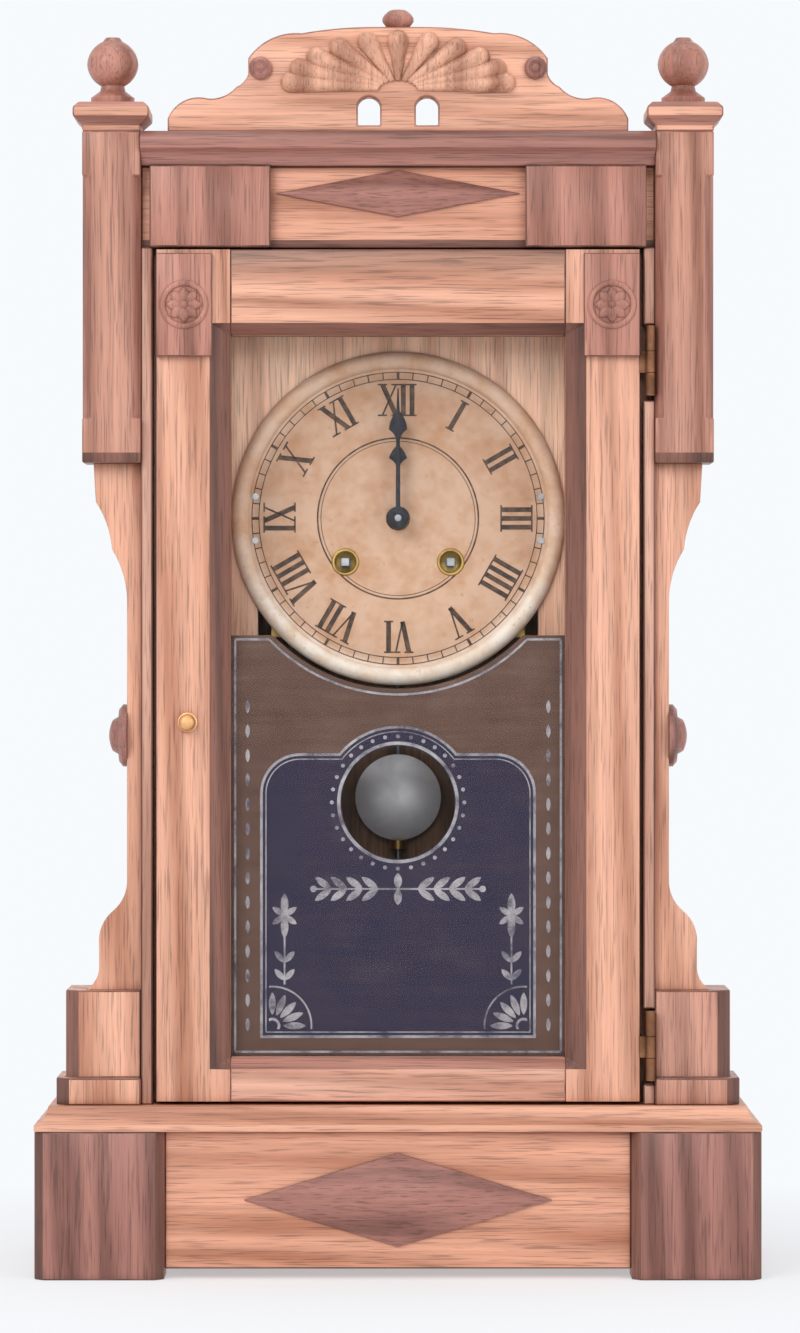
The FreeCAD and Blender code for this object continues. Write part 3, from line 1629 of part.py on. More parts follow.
def hammer_shape():
    """An arbor, a long wire behind the plates, and a round head beside the gong."""
    wire_y = num(board_front - S.gong_depth)
    top = spot("hammer", wire_y)
    outer = num(S.gong_inner) + num(S.gong_turns) * num(S.gong_pitch) + num(S.gong_wire) - num(S.gong_pitch) / 2
    head_x = -outer - num(S.hammer_gap)
    long, wire_radius = num(S.hammer_head_length), num(S.hammer_wire)
    low = Vector(head_x - long / 2, wire_y, num(floor + S.gong_rise))
    wire_bar = Part.makeCylinder(wire_radius, (low - top).Length, top, low - top)
    head = Part.makeCylinder(num(S.hammer_head), long, Vector(head_x - long, wire_y, low.z), Vector(1, 0, 0))
    tail = bar("hammer", y_back + num(S.plate_thickness), wire_y + wire_radius, S.pivot_radius)
    return joined(shaft("hammer"), tail, wire_bar, head)


node(feature("hammer", hammer_shape()), "hammer")

# Check every object, then write one file for each sub-part

doc.recompute()
for thing in doc.Objects:
    if "Invalid" in thing.State or "Error" in thing.State:
        raise RuntimeError(f"{thing.Name}: {thing.State}")
os.makedirs("parts", exist_ok=True)
for made in nodes:
    if made.Shape.isNull() or not made.Shape.isValid():
        raise RuntimeError(f"{made.Label}: its shape is not sound")
    made.Shape.exportStep(os.path.join("parts", made.Label + ".step"))
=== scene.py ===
import json
import math

import bmesh
import bpy
from mathutils import Matrix, Vector

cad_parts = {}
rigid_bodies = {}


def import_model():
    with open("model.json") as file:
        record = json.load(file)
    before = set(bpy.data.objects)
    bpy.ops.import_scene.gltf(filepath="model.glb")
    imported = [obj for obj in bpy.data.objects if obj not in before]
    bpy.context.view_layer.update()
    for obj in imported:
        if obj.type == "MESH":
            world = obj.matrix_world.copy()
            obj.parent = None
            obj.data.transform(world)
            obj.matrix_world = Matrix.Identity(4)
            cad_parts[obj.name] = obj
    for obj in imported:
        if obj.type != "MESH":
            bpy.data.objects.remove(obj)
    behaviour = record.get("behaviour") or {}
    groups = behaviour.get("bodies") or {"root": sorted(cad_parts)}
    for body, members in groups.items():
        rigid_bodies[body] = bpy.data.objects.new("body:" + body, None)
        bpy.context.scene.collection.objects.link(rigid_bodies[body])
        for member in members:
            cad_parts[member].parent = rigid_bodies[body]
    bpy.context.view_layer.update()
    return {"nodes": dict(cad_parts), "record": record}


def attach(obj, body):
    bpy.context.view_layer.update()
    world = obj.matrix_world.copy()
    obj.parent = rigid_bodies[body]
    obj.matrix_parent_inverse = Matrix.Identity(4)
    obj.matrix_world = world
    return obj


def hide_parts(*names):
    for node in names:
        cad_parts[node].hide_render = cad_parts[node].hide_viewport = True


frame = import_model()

MM = 0.001
RECORD = frame["record"]
BODY_OF = {node: body for body, nodes in RECORD["behaviour"]["bodies"].items() for node in nodes}
SLOT_OF = {row["node"]: row["material_slot"] for row in RECORD["subparts"]}

# Places that the pieces share, in millimetres, the front being -Y
DIAL_HEIGHT = 340.5
DIAL_FACE = -8.0
DIAL_RADIUS = 76.0
GLASS_BACK = -39.2
SIGHT_HALF = 75.0
SIGHT_LOW = 98.0
BOB_HEIGHT = 211.9
FACING = (math.pi / 2, 0, 0)
DOUBLED = 0.002


# Work at the bench

def alone(obj):
    """Leaves obj as the one selected and active object."""
    bpy.ops.object.select_all(action="DESELECT")
    obj.select_set(True)
    bpy.context.view_layer.objects.active = obj
    return obj


def named(name):
    """The primitive that was just added, under its own name."""
    obj = bpy.context.active_object
    obj.name = name
    obj.data.name = name
    return alone(obj)


def choose(obj, wanted):
    """Goes into edit mode with just those faces selected whose middle and normal suit wanted."""
    alone(obj)
    bpy.ops.object.mode_set(mode="EDIT")
    bpy.ops.mesh.select_mode(type="FACE")
    bpy.ops.mesh.select_all(action="DESELECT")
    mesh = bmesh.from_edit_mesh(obj.data)
    for face in mesh.faces:
        face.select_set(wanted(face.calc_center_median() / MM, face.normal))
    bmesh.update_edit_mesh(obj.data)


def everything(middle, normal):
    return True


def done():
    """Goes back to object mode."""
    bpy.ops.object.mode_set(mode="OBJECT")


def settled(obj):
    """Puts the object's place, turn and size into its mesh."""
    alone(obj)
    bpy.ops.object.transform_apply(location=True, rotation=True, scale=True)
    return obj


def changed(obj, kind, **settings):
    """Adds a modifier and applies it."""
    alone(obj)
    modifier = obj.modifiers.new(kind.lower(), kind)
    for key, value in settings.items():
        setattr(modifier, key, value)
    bpy.ops.object.modifier_apply(modifier=modifier.name)
    return obj


def smoothed(obj, degrees=35):
    alone(obj)
    bpy.ops.object.shade_smooth_by_angle(angle=math.radians(degrees))
    return obj


def copy_of(obj, at=(0, 0, 0), turn=0.0, flip=False):
    """A copy with its own mesh, turned about the Y axis through the origin and then moved."""
    made = obj.copy()
    made.data = obj.data.copy()
    bpy.context.scene.collection.objects.link(made)
    move = Matrix.Translation(Vector(at) * MM) @ Matrix.Rotation(turn, 4, "Y")
    if flip:
        move = move @ Matrix.Scale(-1, 4, (1, 0, 0))
    made.matrix_world = move @ obj.matrix_world
    return settled(made)


def joined(name, pieces):
    """One object from several, under a name of its own."""
    alone(pieces[0])
    for piece in pieces:
        piece.select_set(True)
    if len(pieces) > 1:
        bpy.ops.object.join()
    return named(name)


def outward(obj):
    """Merges doubled points and turns the faces outwards."""
    alone(obj)
    bpy.ops.object.mode_set(mode="EDIT")
    bpy.ops.mesh.select_all(action="SELECT")
    bpy.ops.mesh.remove_doubles(threshold=DOUBLED * MM)
    bpy.ops.mesh.normals_make_consistent(inside=False)
    done()
    return obj


def fitted(obj, body, slot, *materials, stands_for=()):
    """Gives a finished piece its materials and its body; the slot it takes its finish from is not used."""
    obj.data.materials.clear()
    for material in materials:
        obj.data.materials.append(material)
    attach(obj, body)
    if stands_for:
        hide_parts(*stands_for)
    return obj


# Materials

def colour(red, green, blue):
    """A colour given as it looks on a screen, 0 to 255, as the shader's linear values."""
    parts = [part / 255 for part in (red, green, blue)]
    return [p / 12.92 if p <= 0.04045 else ((p + 0.055) / 1.055) ** 2.4 for p in parts] + [1.0]


class Finish:
    """A material and the nodes that it is made of."""

    def __init__(self, name, **shader):
        self.material = bpy.data.materials.new(name)
        self.material.use_nodes = True
        self.tree = self.material.node_tree
        self.shader = self.tree.nodes["Principled BSDF"]
        self.set(**shader)
        self.place = self.node("ShaderNodeTexCoord").outputs["Object"]

    def feed(self, socket, value):
        if isinstance(value, bpy.types.NodeSocket):
            self.tree.links.new(value, socket)
        else:
            socket.default_value = value

    def node(self, kind, inputs=None, **settings):
        made = self.tree.nodes.new(kind)
        for key, value in settings.items():
            setattr(made, key, value)
        for key, value in (inputs or {}).items():
            self.feed(made.inputs[key], value)
        return made

    def mapped(self, scale, shift=(0, 0, 0)):
        inputs = {"Vector": self.place, "Scale": scale, "Location": shift}
        return self.node("ShaderNodeMapping", inputs).outputs[0]

    def noise(self, vector, detail=3.0, rough=0.55, swirl=0.0):
        inputs = {"Vector": vector, "Scale": 1.0, "Detail": detail, "Roughness": rough, "Distortion": swirl}
        return self.node("ShaderNodeTexNoise", inputs).outputs[0]

    def ramp(self, factor, *stops):
        """Runs through the stops, each a place from 0 to 1 and a colour or a grey."""
        made = self.node("ShaderNodeValToRGB", {0: factor})
        band = made.color_ramp
        while len(band.elements) < len(stops):
            band.elements.new(1.0)
        for element, (place, tone) in zip(band.elements, stops):
            element.position = place
            element.color = tone if isinstance(tone, list) else (tone, tone, tone, 1.0)
        return made.outputs[0]

    def math(self, kind, first, second):
        return self.node("ShaderNodeMath", {0: first, 1: second}, operation=kind).outputs[0]

    def mix(self, factor, first, second, blend="MIX"):
        inputs = {0: factor, 6: first, 7: second}
        return self.node("ShaderNodeMix", inputs, data_type="RGBA", blend_type=blend).outputs[2]

    def corner_shade_and_dirt(self, tone, reach=7.0, depth=1.0):
        """Darkens a tone in corners and under edges: painted shade, with the old polish and dust that stay
        there.
        """
        corner = self.node("ShaderNodeAmbientOcclusion", {"Distance": reach * MM}, samples=6).outputs["AO"]
        shade = self.ramp(corner, (0.25, 1 - depth), (0.85, 1.0))
        return self.mix(1.0, tone, shade, "MULTIPLY")

    def set(self, **values):
        """Feeds the shader's inputs, each named as on the shader but in small letters."""
        for key, value in values.items():
            self.feed(self.shader.inputs[key.replace("_", " ").title().replace("Ior", "IOR")], value)

    def bumpy(self, height, strength, deep):
        inputs = {"Height": height, "Strength": strength, "Distance": deep * MM}
        self.set(normal=self.node("ShaderNodeBump", inputs).outputs[0])

    def blended(self, factor, other):
        """Lets another shader show by a factor."""
        blend = self.node("ShaderNodeMixShader", {0: factor, 1: self.shader.outputs[0], 2: other}).outputs[0]
        self.feed(self.tree.nodes["Material Output"].inputs["Surface"], blend)


def wood(name, pale, deep, along, shift=0.0, depth=0.3, under=None):
    """Polished walnut: growth rings along the board, pores, painted shade with dirt in corners, and a painted
    shadow under a ledge.
    """
    finish = Finish(name, coat_weight=0.18, coat_roughness=0.3, specular_ior_level=0.35)

    def stretched(across, lengthwise):
        scale = [across] * 3
        scale["XYZ".index(along)] = lengthwise
        return finish.mapped(scale, (shift, shift * 0.7, shift * 1.3))

    cloud = finish.noise(stretched(30, 4), 4.0, 0.6, 1.0)
    wave = {"Vector": stretched(34, 2.2), "Scale": 0.8, "Distortion": 8.0, "Detail": 2.5, "Detail Scale": 0.9}
    rings = finish.node("ShaderNodeTexWave", wave, bands_direction="DIAGONAL").outputs[1]
    streaks = finish.noise(stretched(420, 9), 3.0, 0.65)
    pores = finish.noise(stretched(1500, 45), 2.0, 0.5)
    figure = finish.math("ADD", finish.math("MULTIPLY", rings, 0.38), finish.math("MULTIPLY", cloud, 0.62))
    middle = [(a * 0.72 + b * 0.28) for a, b in zip(pale, deep)]
    glow = [min(part * 1.1, 1.0) for part in pale[:3]] + [1.0]
    tone = finish.ramp(figure, (0.22, deep), (0.45, middle), (0.6, pale), (0.85, glow))
    tone = finish.mix(1.0, tone, finish.ramp(streaks, (0.3, 0.78), (0.62, 1.06)), "MULTIPLY")
    tone = finish.mix(1.0, tone, finish.ramp(pores, (0.34, 0.6), (0.46, 1.0)), "MULTIPLY")
    # Darker in corners: painted shade together with dirt.
    tone = finish.corner_shade_and_dirt(tone, 5.0, depth)
    # Painted shadow cast by a ledge: darker towards the top of the band from low to high.
    if under:
        low, high, shade = under
        height = finish.node("ShaderNodeSeparateXYZ", {0: finish.place}).outputs["Z"]
        span = {0: height, 1: low * MM, 2: high * MM, 3: 1.0, 4: 1.0 - shade}
        tone = finish.mix(1.0, tone, finish.node("ShaderNodeMapRange", span).outputs[0], "MULTIPLY")
    finish.set(base_color=tone, roughness=finish.ramp(streaks, (0.3, 0.52), (0.7, 0.34)))
    finish.bumpy(finish.math("ADD", pores, streaks), 0.25, 0.25)
    return finish.material


def metal(name, bright, dull, rough, patches=60.0, metallic=1.0):
    """Polished metal that has dulled in patches, with fine rubbing marks."""
    finish = Finish(name, metallic=metallic)
    cloud = finish.noise(finish.mapped([patches] * 3), 4.0, 0.6, 0.4)
    rubbed = finish.noise(finish.mapped([900, 900, 160]), 2.0)
    tone = finish.ramp(cloud, (0.35, dull), (0.62, bright))
    # The base colour darkens in corners: painted shade together with dirt.
    finish.set(
        base_color=finish.corner_shade_and_dirt(tone, 3.0, 0.5),
        roughness=finish.math("ADD", finish.ramp(cloud, (0.35, rough + 0.16), (0.62, rough)), 0.02),
    )
    finish.bumpy(rubbed, 0.12, 0.1)
    return finish.material


LIGHT, LIGHT_GRAIN = colour(232, 172, 144), colour(184, 122, 94)
WARM, WARM_GRAIN = colour(229, 165, 136), colour(180, 115, 86)
POST, POST_GRAIN = colour(200, 143, 122), colour(152, 98, 78)
MID, MID_GRAIN = colour(190, 131, 114), colour(143, 91, 76)
DARK, DARK_GRAIN = colour(170, 116, 104), colour(112, 70, 60)
# The darkest tone is painted shade: it goes on slanted faces and on the feet of the posts and the frieze
# board.
SHADED_EDGE, SHADED_EDGE_GRAIN = colour(134, 88, 74), colour(90, 56, 46)

light_up = wood("light_walnut_upright", LIGHT, LIGHT_GRAIN, "Z", 0.3)
light_across = wood("light_walnut_across", LIGHT, LIGHT_GRAIN, "X", 1.7)
warm_across = wood("warm_walnut_across", WARM, WARM_GRAIN, "X", 1.7)
# The bottom rail is paler than the other light wood: a painted highlight.
low_rail_across = wood("low_rail_walnut_across", colour(236, 181, 157), colour(190, 131, 107), "X", 1.7)
# The case sides are paler, with no darkening in corners: painted light that lifts the deep slot beside the
# door.
pale_inside = wood("pale_walnut_inside", colour(214, 164, 142), colour(172, 122, 102), "Z", 5.2, depth=0.0)
# The spandrel boards are paler still, painted light in the recess behind the glass, and darker near the dial
# and frame, painted shade.
spandrel_wood = wood("spandrel_walnut", colour(254, 200, 170), colour(226, 166, 136), "Z", 3.3, depth=0.5)
post_up = wood("post_walnut_upright", POST, POST_GRAIN, "Z", 12.4)
# The top rail darkens towards its upper edge: painted shadow under the frieze.
rail_across = wood("rail_walnut_across", LIGHT, LIGHT_GRAIN, "X", 1.7, under=(445.0, 459.5, 0.62))
mid_up = wood("mid_walnut_upright", MID, MID_GRAIN, "Z", 2.9)
mid_across = wood("mid_walnut_across", MID, MID_GRAIN, "X", 4.1)
mid_deep = wood("mid_walnut_front_to_back", MID, MID_GRAIN, "Y", 14.9)
dark_up = wood("dark_walnut_upright", DARK, DARK_GRAIN, "Z", 6.3)
dark_across = wood("dark_walnut_across", DARK, DARK_GRAIN, "X", 7.4)
shaded_edge_up = wood("painted_shade_edge_upright", SHADED_EDGE, SHADED_EDGE_GRAIN, "Z", 8.5)
shaded_edge_across = wood("painted_shade_edge_across", SHADED_EDGE, SHADED_EDGE_GRAIN, "X", 9.6)
fan_wood = wood("carved_walnut", colour(222, 166, 138), colour(164, 108, 84), "Z", 11.8)
plain_back = wood("plain_back_wood", colour(150, 108, 80), colour(96, 64, 46), "Z", 10.7)

brass = metal("old_brass", colour(206, 168, 98), colour(140, 104, 58), 0.26)
dull_brass = metal("dull_brass", colour(142, 100, 74), colour(98, 68, 50), 0.42)
worn_brass = metal("worn_brass", colour(232, 180, 130), colour(196, 142, 98), 0.42)
steel = metal("bright_steel", colour(178, 178, 182), colour(118, 116, 118), 0.3)
iron = metal("black_iron", colour(66, 66, 72), colour(38, 38, 42), 0.48)
silvered = metal("silvered_brass", colour(242, 238, 244), colour(216, 211, 216), 0.36, 40.0, metallic=0.55)


def blued_steel():
    finish = Finish("blued_hands", metallic=0.6, coat_weight=0.3, coat_roughness=0.2)
    cloud = finish.noise(finish.mapped([300] * 3))
    finish.set(
        base_color=finish.ramp(cloud, (0.3, colour(24, 22, 30)), (0.7, colour(46, 42, 52))),
        roughness=finish.ramp(cloud, (0.3, 0.42), (0.7, 0.3)),
    )
    return finish.material


def dial_paper():
    """Aged cream paint with faint foxing; a painted highlight on the lower rim, a painted shadow of the
    door's frame towards the top, and painted shade with dirt in corners.
    """
    finish = Finish("aged_dial_paint", specular_ior_level=0.3)
    centred = finish.mapped([1 / (DIAL_RADIUS * MM)] * 3, (0, 0, -DIAL_HEIGHT / DIAL_RADIUS))
    flat = finish.node("ShaderNodeVectorMath", {0: centred, 1: (1, 0, 1)}, operation="MULTIPLY").outputs[0]
    radius = finish.node("ShaderNodeVectorMath", {0: flat}, operation="LENGTH").outputs["Value"]
    # The lower rim is paler, a painted highlight, and the upper rim darker, painted shade.
    middle, lit_low_rim, shaded_high_rim = colour(220, 178, 152), colour(255, 238, 226), colour(248, 208, 184)
    height = finish.node("ShaderNodeSeparateXYZ", {0: centred}).outputs["Z"]
    upper = finish.node("ShaderNodeMapRange", {0: height, 1: -0.55, 2: 0.05, 3: 0.0, 4: 1.0}).outputs[0]
    on_rim = finish.ramp(radius, (0.85, 0.0), (0.92, 1.0))
    tone = finish.mix(on_rim, middle, finish.mix(upper, lit_low_rim, shaded_high_rim))
    # Painted shadow of the door's frame: darker towards the top.
    frame_shadow = finish.node("ShaderNodeMapRange", {0: height, 1: -0.6, 2: 1.0, 3: 1.0, 4: 0.76}).outputs[0]
    tone = finish.mix(1.0, tone, frame_shadow, "MULTIPLY")
    foxing = finish.noise(finish.mapped([70] * 3), 5.0, 0.65)
    spots = finish.noise(finish.mapped([420] * 3), 2.0)
    tone = finish.mix(1.0, tone, finish.ramp(foxing, (0.3, colour(234, 212, 190)), (0.6, 1.0)), "MULTIPLY")
    tone = finish.mix(finish.ramp(spots, (0.66, 0.0), (0.74, 0.35)), tone, colour(160, 116, 84))
    gloss = finish.ramp(foxing, (0.3, 0.6), (0.7, 0.45))
    finish.set(base_color=finish.corner_shade_and_dirt(tone, 5.0, 0.2), roughness=gloss)
    finish.bumpy(spots, 0.08, 0.1)
    return finish.material


def window_glass():
    """Old clear glass that lets the lamps through to the dial and mirrors little."""
    clear, in_shadow = (0.97, 0.985, 0.975, 1.0), (0.94, 0.96, 0.95, 1.0)
    finish = Finish("old_window_glass", base_color=clear, transmission_weight=1.0, ior=1.12, roughness=0.0)
    rays = finish.node("ShaderNodeLightPath").outputs["Is Shadow Ray"]
    finish.blended(rays, finish.node("ShaderNodeBsdfTransparent", {"Color": in_shadow}).outputs[0])
    return finish.material


def tablet_paint(name, deep, middle, thin):
    """Paint on the back of the glass, brushed sideways and a little thin in places."""
    finish = Finish(name, specular_ior_level=0.1)
    brush = finish.noise(finish.mapped([24, 100, 320]), 1.5, 0.5)
    cloud = finish.noise(finish.mapped([45] * 3), 4.0, 0.6, 0.5)
    both = finish.math("ADD", finish.math("MULTIPLY", brush, 0.4), finish.math("MULTIPLY", cloud, 0.6))
    finish.set(
        base_color=finish.ramp(both, (0.3, deep), (0.55, middle), (0.75, thin)),
        roughness=finish.ramp(brush, (0.3, 0.45), (0.7, 0.6)),
    )
    return finish.material


def stencil_silver():
    """Silver bronze powder, laid through a stencil and rubbed thin here and there."""
    finish = Finish("stencil_silver", metallic=0.25)
    grains = finish.noise(finish.mapped([1400] * 3), 2.0)
    worn = finish.noise(finish.mapped([120] * 3), 4.0, 0.65)
    rubbed, dull, bright = colour(82, 74, 88), colour(150, 142, 148), colour(184, 176, 178)
    tone = finish.ramp(worn, (0.34, rubbed), (0.52, dull), (0.75, bright))
    tone = finish.mix(1.0, tone, finish.ramp(grains, (0.3, 0.75), (0.6, 1.05)), "MULTIPLY")
    finish.set(base_color=tone, roughness=finish.ramp(grains, (0.3, 0.55), (0.7, 0.4)))
    return finish.material


def dial_ink():
    finish = Finish("dial_ink", specular_ior_level=0.3)
    worn = finish.noise(finish.mapped([260] * 3), 4.0, 0.6)
    finish.set(
        base_color=finish.ramp(worn, (0.4, colour(66, 51, 45)), (0.72, colour(120, 92, 76))),
        roughness=finish.ramp(worn, (0.4, 0.5), (0.7, 0.7)),
    )
    return finish.material


hands_blue = blued_steel()
paper = dial_paper()
glass = window_glass()
tablet_black = tablet_paint("tablet_black", colour(43, 42, 64), colour(56, 48, 65), colour(72, 59, 72))
tablet_bronze = tablet_paint("tablet_bronze", colour(86, 62, 54), colour(100, 75, 66), colour(116, 92, 82))
silver = stencil_silver()
ink = dial_ink()

NODE_FINISH = {
    "back_wood": plain_back,
    "window_glass": glass,
    "brass": brass,
    "steel": steel,
    "dial_paint": paper,
    "hand_paint": hands_blue,
    "bob_plate": silvered,
    "gong_iron": iron,
    "walnut_light": light_up,
    "walnut_mid": mid_up,
    "walnut_dark": dark_up,
}
OWN_FINISH = {"hinge_leaves_case": dull_brass, "hinge_leaves_door": dull_brass, "dial_cleats": spandrel_wood}
for node, obj in frame["nodes"].items():
    obj.data.materials.clear()
    obj.data.materials.append(OWN_FINISH.get(node, NODE_FINISH[SLOT_OF[node]]))


# Wooden pieces, with their edges eased and painted shade on their slanted faces

EASED = 0.7
STRAIGHT = 0.94
WELD, IN_PLANE, SHARP = 0.004, math.radians(0.3), math.radians(40)


def worked(node, face, edge, eased=EASED, smooth=35):
    """A copy of a CAD piece with rounded edges, in two finishes: the flats and what is slanted."""
    obj = bpy.data.objects.new(node + "_finished", frame["nodes"][node].data.copy())
    bpy.context.scene.collection.objects.link(obj)
    alone(obj)
    bpy.ops.mesh.customdata_custom_splitnormals_clear()
    bpy.ops.object.mode_set(mode="EDIT")
    bpy.ops.mesh.select_all(action="SELECT")
    bpy.ops.mesh.remove_doubles(threshold=WELD * MM)
    bpy.ops.mesh.dissolve_limited(angle_limit=IN_PLANE)
    done()
    if eased:
        changed(obj, "BEVEL", width=eased * MM, segments=2, limit_method="ANGLE", angle_limit=SHARP)
    smoothed(obj, smooth)
    fitted(obj, BODY_OF[node], SLOT_OF[node], face, edge, stands_for=(node,))
    # Slanted faces take the second finish, on most pieces a darker one: painted shade on faces turned from
    # the light.
    for polygon in obj.data.polygons:
        flat = max(abs(part) for part in polygon.normal)
        polygon.material_index = 1 if flat < STRAIGHT else 0
    return obj


WOODWORK = {
    "base_front_panel": (warm_across, shaded_edge_across),
    "base_blocks": (dark_up, shaded_edge_up),
    "base_boards": (mid_across, shaded_edge_across),
    "base_top": (light_across, light_across),
    "base_diamond": (dark_across, dark_across),
    "case_sides": (pale_inside, shaded_edge_up),
    "case_top": (mid_across, shaded_edge_across),
    "back_board": (plain_back, plain_back),
    "frieze_board": (warm_across, shaded_edge_across),
    "frieze_blocks": (mid_up, shaded_edge_up),
    "frieze_diamond": (dark_across, dark_across),
    "cornice": (dark_across, dark_across),
    "posts": (post_up, mid_up),
    "post_caps": (light_across, mid_across),
    "side_scrolls": (light_up, light_up),
    "lower_ears": (light_up, shaded_edge_up),
    "crest_board": (light_across, mid_across),
    "door_stiles": (light_up, shaded_edge_up),
    "door_top_rail": (rail_across, shaded_edge_across),
    "door_bottom_rail": (low_rail_across, mid_across),
}
finished = {node: worked(node, face, edge) for node, (face, edge) in WOODWORK.items()}


def refinished(obj, material, suits):
    """Gives a third finish to the faces that suit."""
    obj.data.materials.append(material)
    for polygon in obj.data.polygons:
        if suits(polygon):
            polygon.material_index = 2


def shaded_below(obj, height, shade_finish):
    """Darkens the foot of a piece, up to a sharp line, as a painted shadow."""
    choose(obj, everything)
    bpy.ops.mesh.bisect(plane_co=(0, 0, height * MM), plane_no=(0, 0, 1))
    done()
    refinished(obj, shade_finish, lambda polygon: polygon.center.z < height * MM)


def right_flat(polygon):
    """Whether a face is on the right and not slanted."""
    return polygon.center.x > 0 and polygon.material_index == 0


POST_FOOT = 368.5
FRIEZE_FOOT = 464.0
SIDEWAYS = 0.9
ROSETTE_INSIDE = 55.5
# Painted shadow: the posts' feet and the frieze board's lower edge are darkened, under the posts and over the
# door.
shaded_below(finished["posts"], POST_FOOT, shaded_edge_up)
shaded_below(finished["frieze_board"], FRIEZE_FOOT, shaded_edge_across)
refinished(finished["base_boards"], mid_deep, lambda polygon: abs(polygon.normal.x) > SIDEWAYS)
# The right ear's flat faces take the darker post finish: painted shade on the side away from the lamps.
refinished(finished["lower_ears"], post_up, right_flat)
carving = worked("crest_carving", fan_wood, fan_wood, eased=0.3, smooth=50)
refinished(carving, dark_up, lambda polygon: abs(polygon.center.x) > ROSETTE_INSIDE * MM)
corner_blocks = worked("door_corner_blocks", mid_up, shaded_edge_up, eased=0.4, smooth=50)
worked("side_bosses", dark_up, dark_up, eased=0, smooth=40)
worked("finials", mid_up, mid_up, eased=0, smooth=40)
worked("pendulum_bob", silvered, silvered, eased=0, smooth=30)
worked("door_knob", worn_brass, worn_brass, eased=0, smooth=30)
worked("dial_pan", paper, paper, eased=0, smooth=40)
worked("hour_hand", hands_blue, hands_blue, eased=0.2)
worked("minute_hand", hands_blue, hands_blue, eased=0.2)


# Flat shapes for the dial's print and the tablet's stencil, drawn facing the front about the origin

ROUND_SIDES, FINE_SIDES = 120, 160


def bar(start, end, wide):
    """A straight stroke between two points of the front plane."""
    start, end = Vector(start), Vector(end)
    run = end - start
    bpy.ops.mesh.primitive_plane_add(size=1, rotation=FACING)
    obj = named("stroke")
    settled(obj)
    obj.scale = (wide * MM, 1, run.length * MM)
    settled(obj)
    turn = math.atan2(run.x, run.y)
    middle = (start + end) / 2
    obj.matrix_world = Matrix.Translation((middle.x * MM, 0, middle.y * MM)) @ Matrix.Rotation(turn, 4, "Y")
    return settled(obj)


def ring(outer, inner, sides=96):
    """A flat ring."""
    bpy.ops.mesh.primitive_circle_add(vertices=sides, radius=outer * MM, fill_type="NGON", rotation=FACING)
    obj = settled(named("ring"))
    choose(obj, everything)
    bpy.ops.mesh.inset(thickness=(outer - inner) * MM)
    bpy.ops.mesh.delete(type="FACE")
    done()
    return obj


def spot(radius, sides=16):
    """A flat round spot."""
    bpy.ops.mesh.primitive_circle_add(vertices=sides, radius=radius * MM, fill_type="NGON", rotation=FACING)
    return settled(named("spot"))


def leaf(length, wide, sides=20):
    """A leaf with two pointed ends, standing on the origin."""
    bpy.ops.mesh.primitive_circle_add(vertices=sides, radius=0.5, fill_type="NGON", rotation=FACING)
    obj = settled(named("leaf"))
    for vertex in obj.data.vertices:
        along = vertex.co.z * 2
        vertex.co.x = math.copysign(wide * MM / 2 * (1 - along * along) ** 0.8, vertex.co.x)
        vertex.co.z = (along + 1) * length * MM / 2
    return obj


def thick(obj, y, deep):
    """Gives a flat drawing its thickness, from y towards the back."""
    changed(obj, "SOLIDIFY", thickness=deep * MM, offset=-1.0)
    obj.location.y = y * MM
    return outward(settled(obj))


# Carving and small fittings

BLOCK_FACE, IN_FRONT = -56.4, 0.05
BLOCK_MIDDLE = (95.5, 434.5)


def front_half(obj):
    """Keeps what is in front of the XZ plane, closed at the back."""
    choose(obj, everything)
    bpy.ops.mesh.bisect(plane_co=(0, 0.01 * MM, 0), plane_no=(0, 1, 0), clear_outer=True, use_fill=True)
    done()
    return smoothed(obj, 50)


def crowned_leaf(length, wide, rise):
    """A carved leaf with a crowned face and narrow ends, standing on the origin."""
    bpy.ops.mesh.primitive_uv_sphere_add(segments=24, ring_count=16, radius=1)
    obj = named("crowned_leaf")
    for vertex in obj.data.vertices:
        x, y, along = vertex.co
        pinch = max(1 - along * along, 0) ** 0.35
        vertex.co = Vector((x * pinch * wide / 2, y * rise, (along + 1) * length / 2)) * MM
    return front_half(obj)


def button(radius, rise):
    """A low domed button that faces the front."""
    bpy.ops.mesh.primitive_uv_sphere_add(segments=24, ring_count=12, radius=radius * MM)
    obj = named("button")
    obj.scale.y = rise / radius
    return front_half(settled(obj))


def hoop(radius, wire, flat=1.0):
    """A half-sunk round moulding that faces the front."""
    size = {"major_radius": radius * MM, "minor_radius": wire * MM}
    bpy.ops.mesh.primitive_torus_add(major_segments=64, minor_segments=14, rotation=FACING, **size)
    obj = settled(named("hoop"))
    obj.scale.y = flat
    return smoothed(settled(obj), 60)


PETAL = {"length": 8.0, "wide": 5.4, "rise": 1.9}
PETALS = 8
ROSETTE_HOOP = {"radius": 9.6, "wire": 1.4, "flat": 0.9}
ROSETTE_BUTTON = {"radius": 2.2, "rise": 2.6}


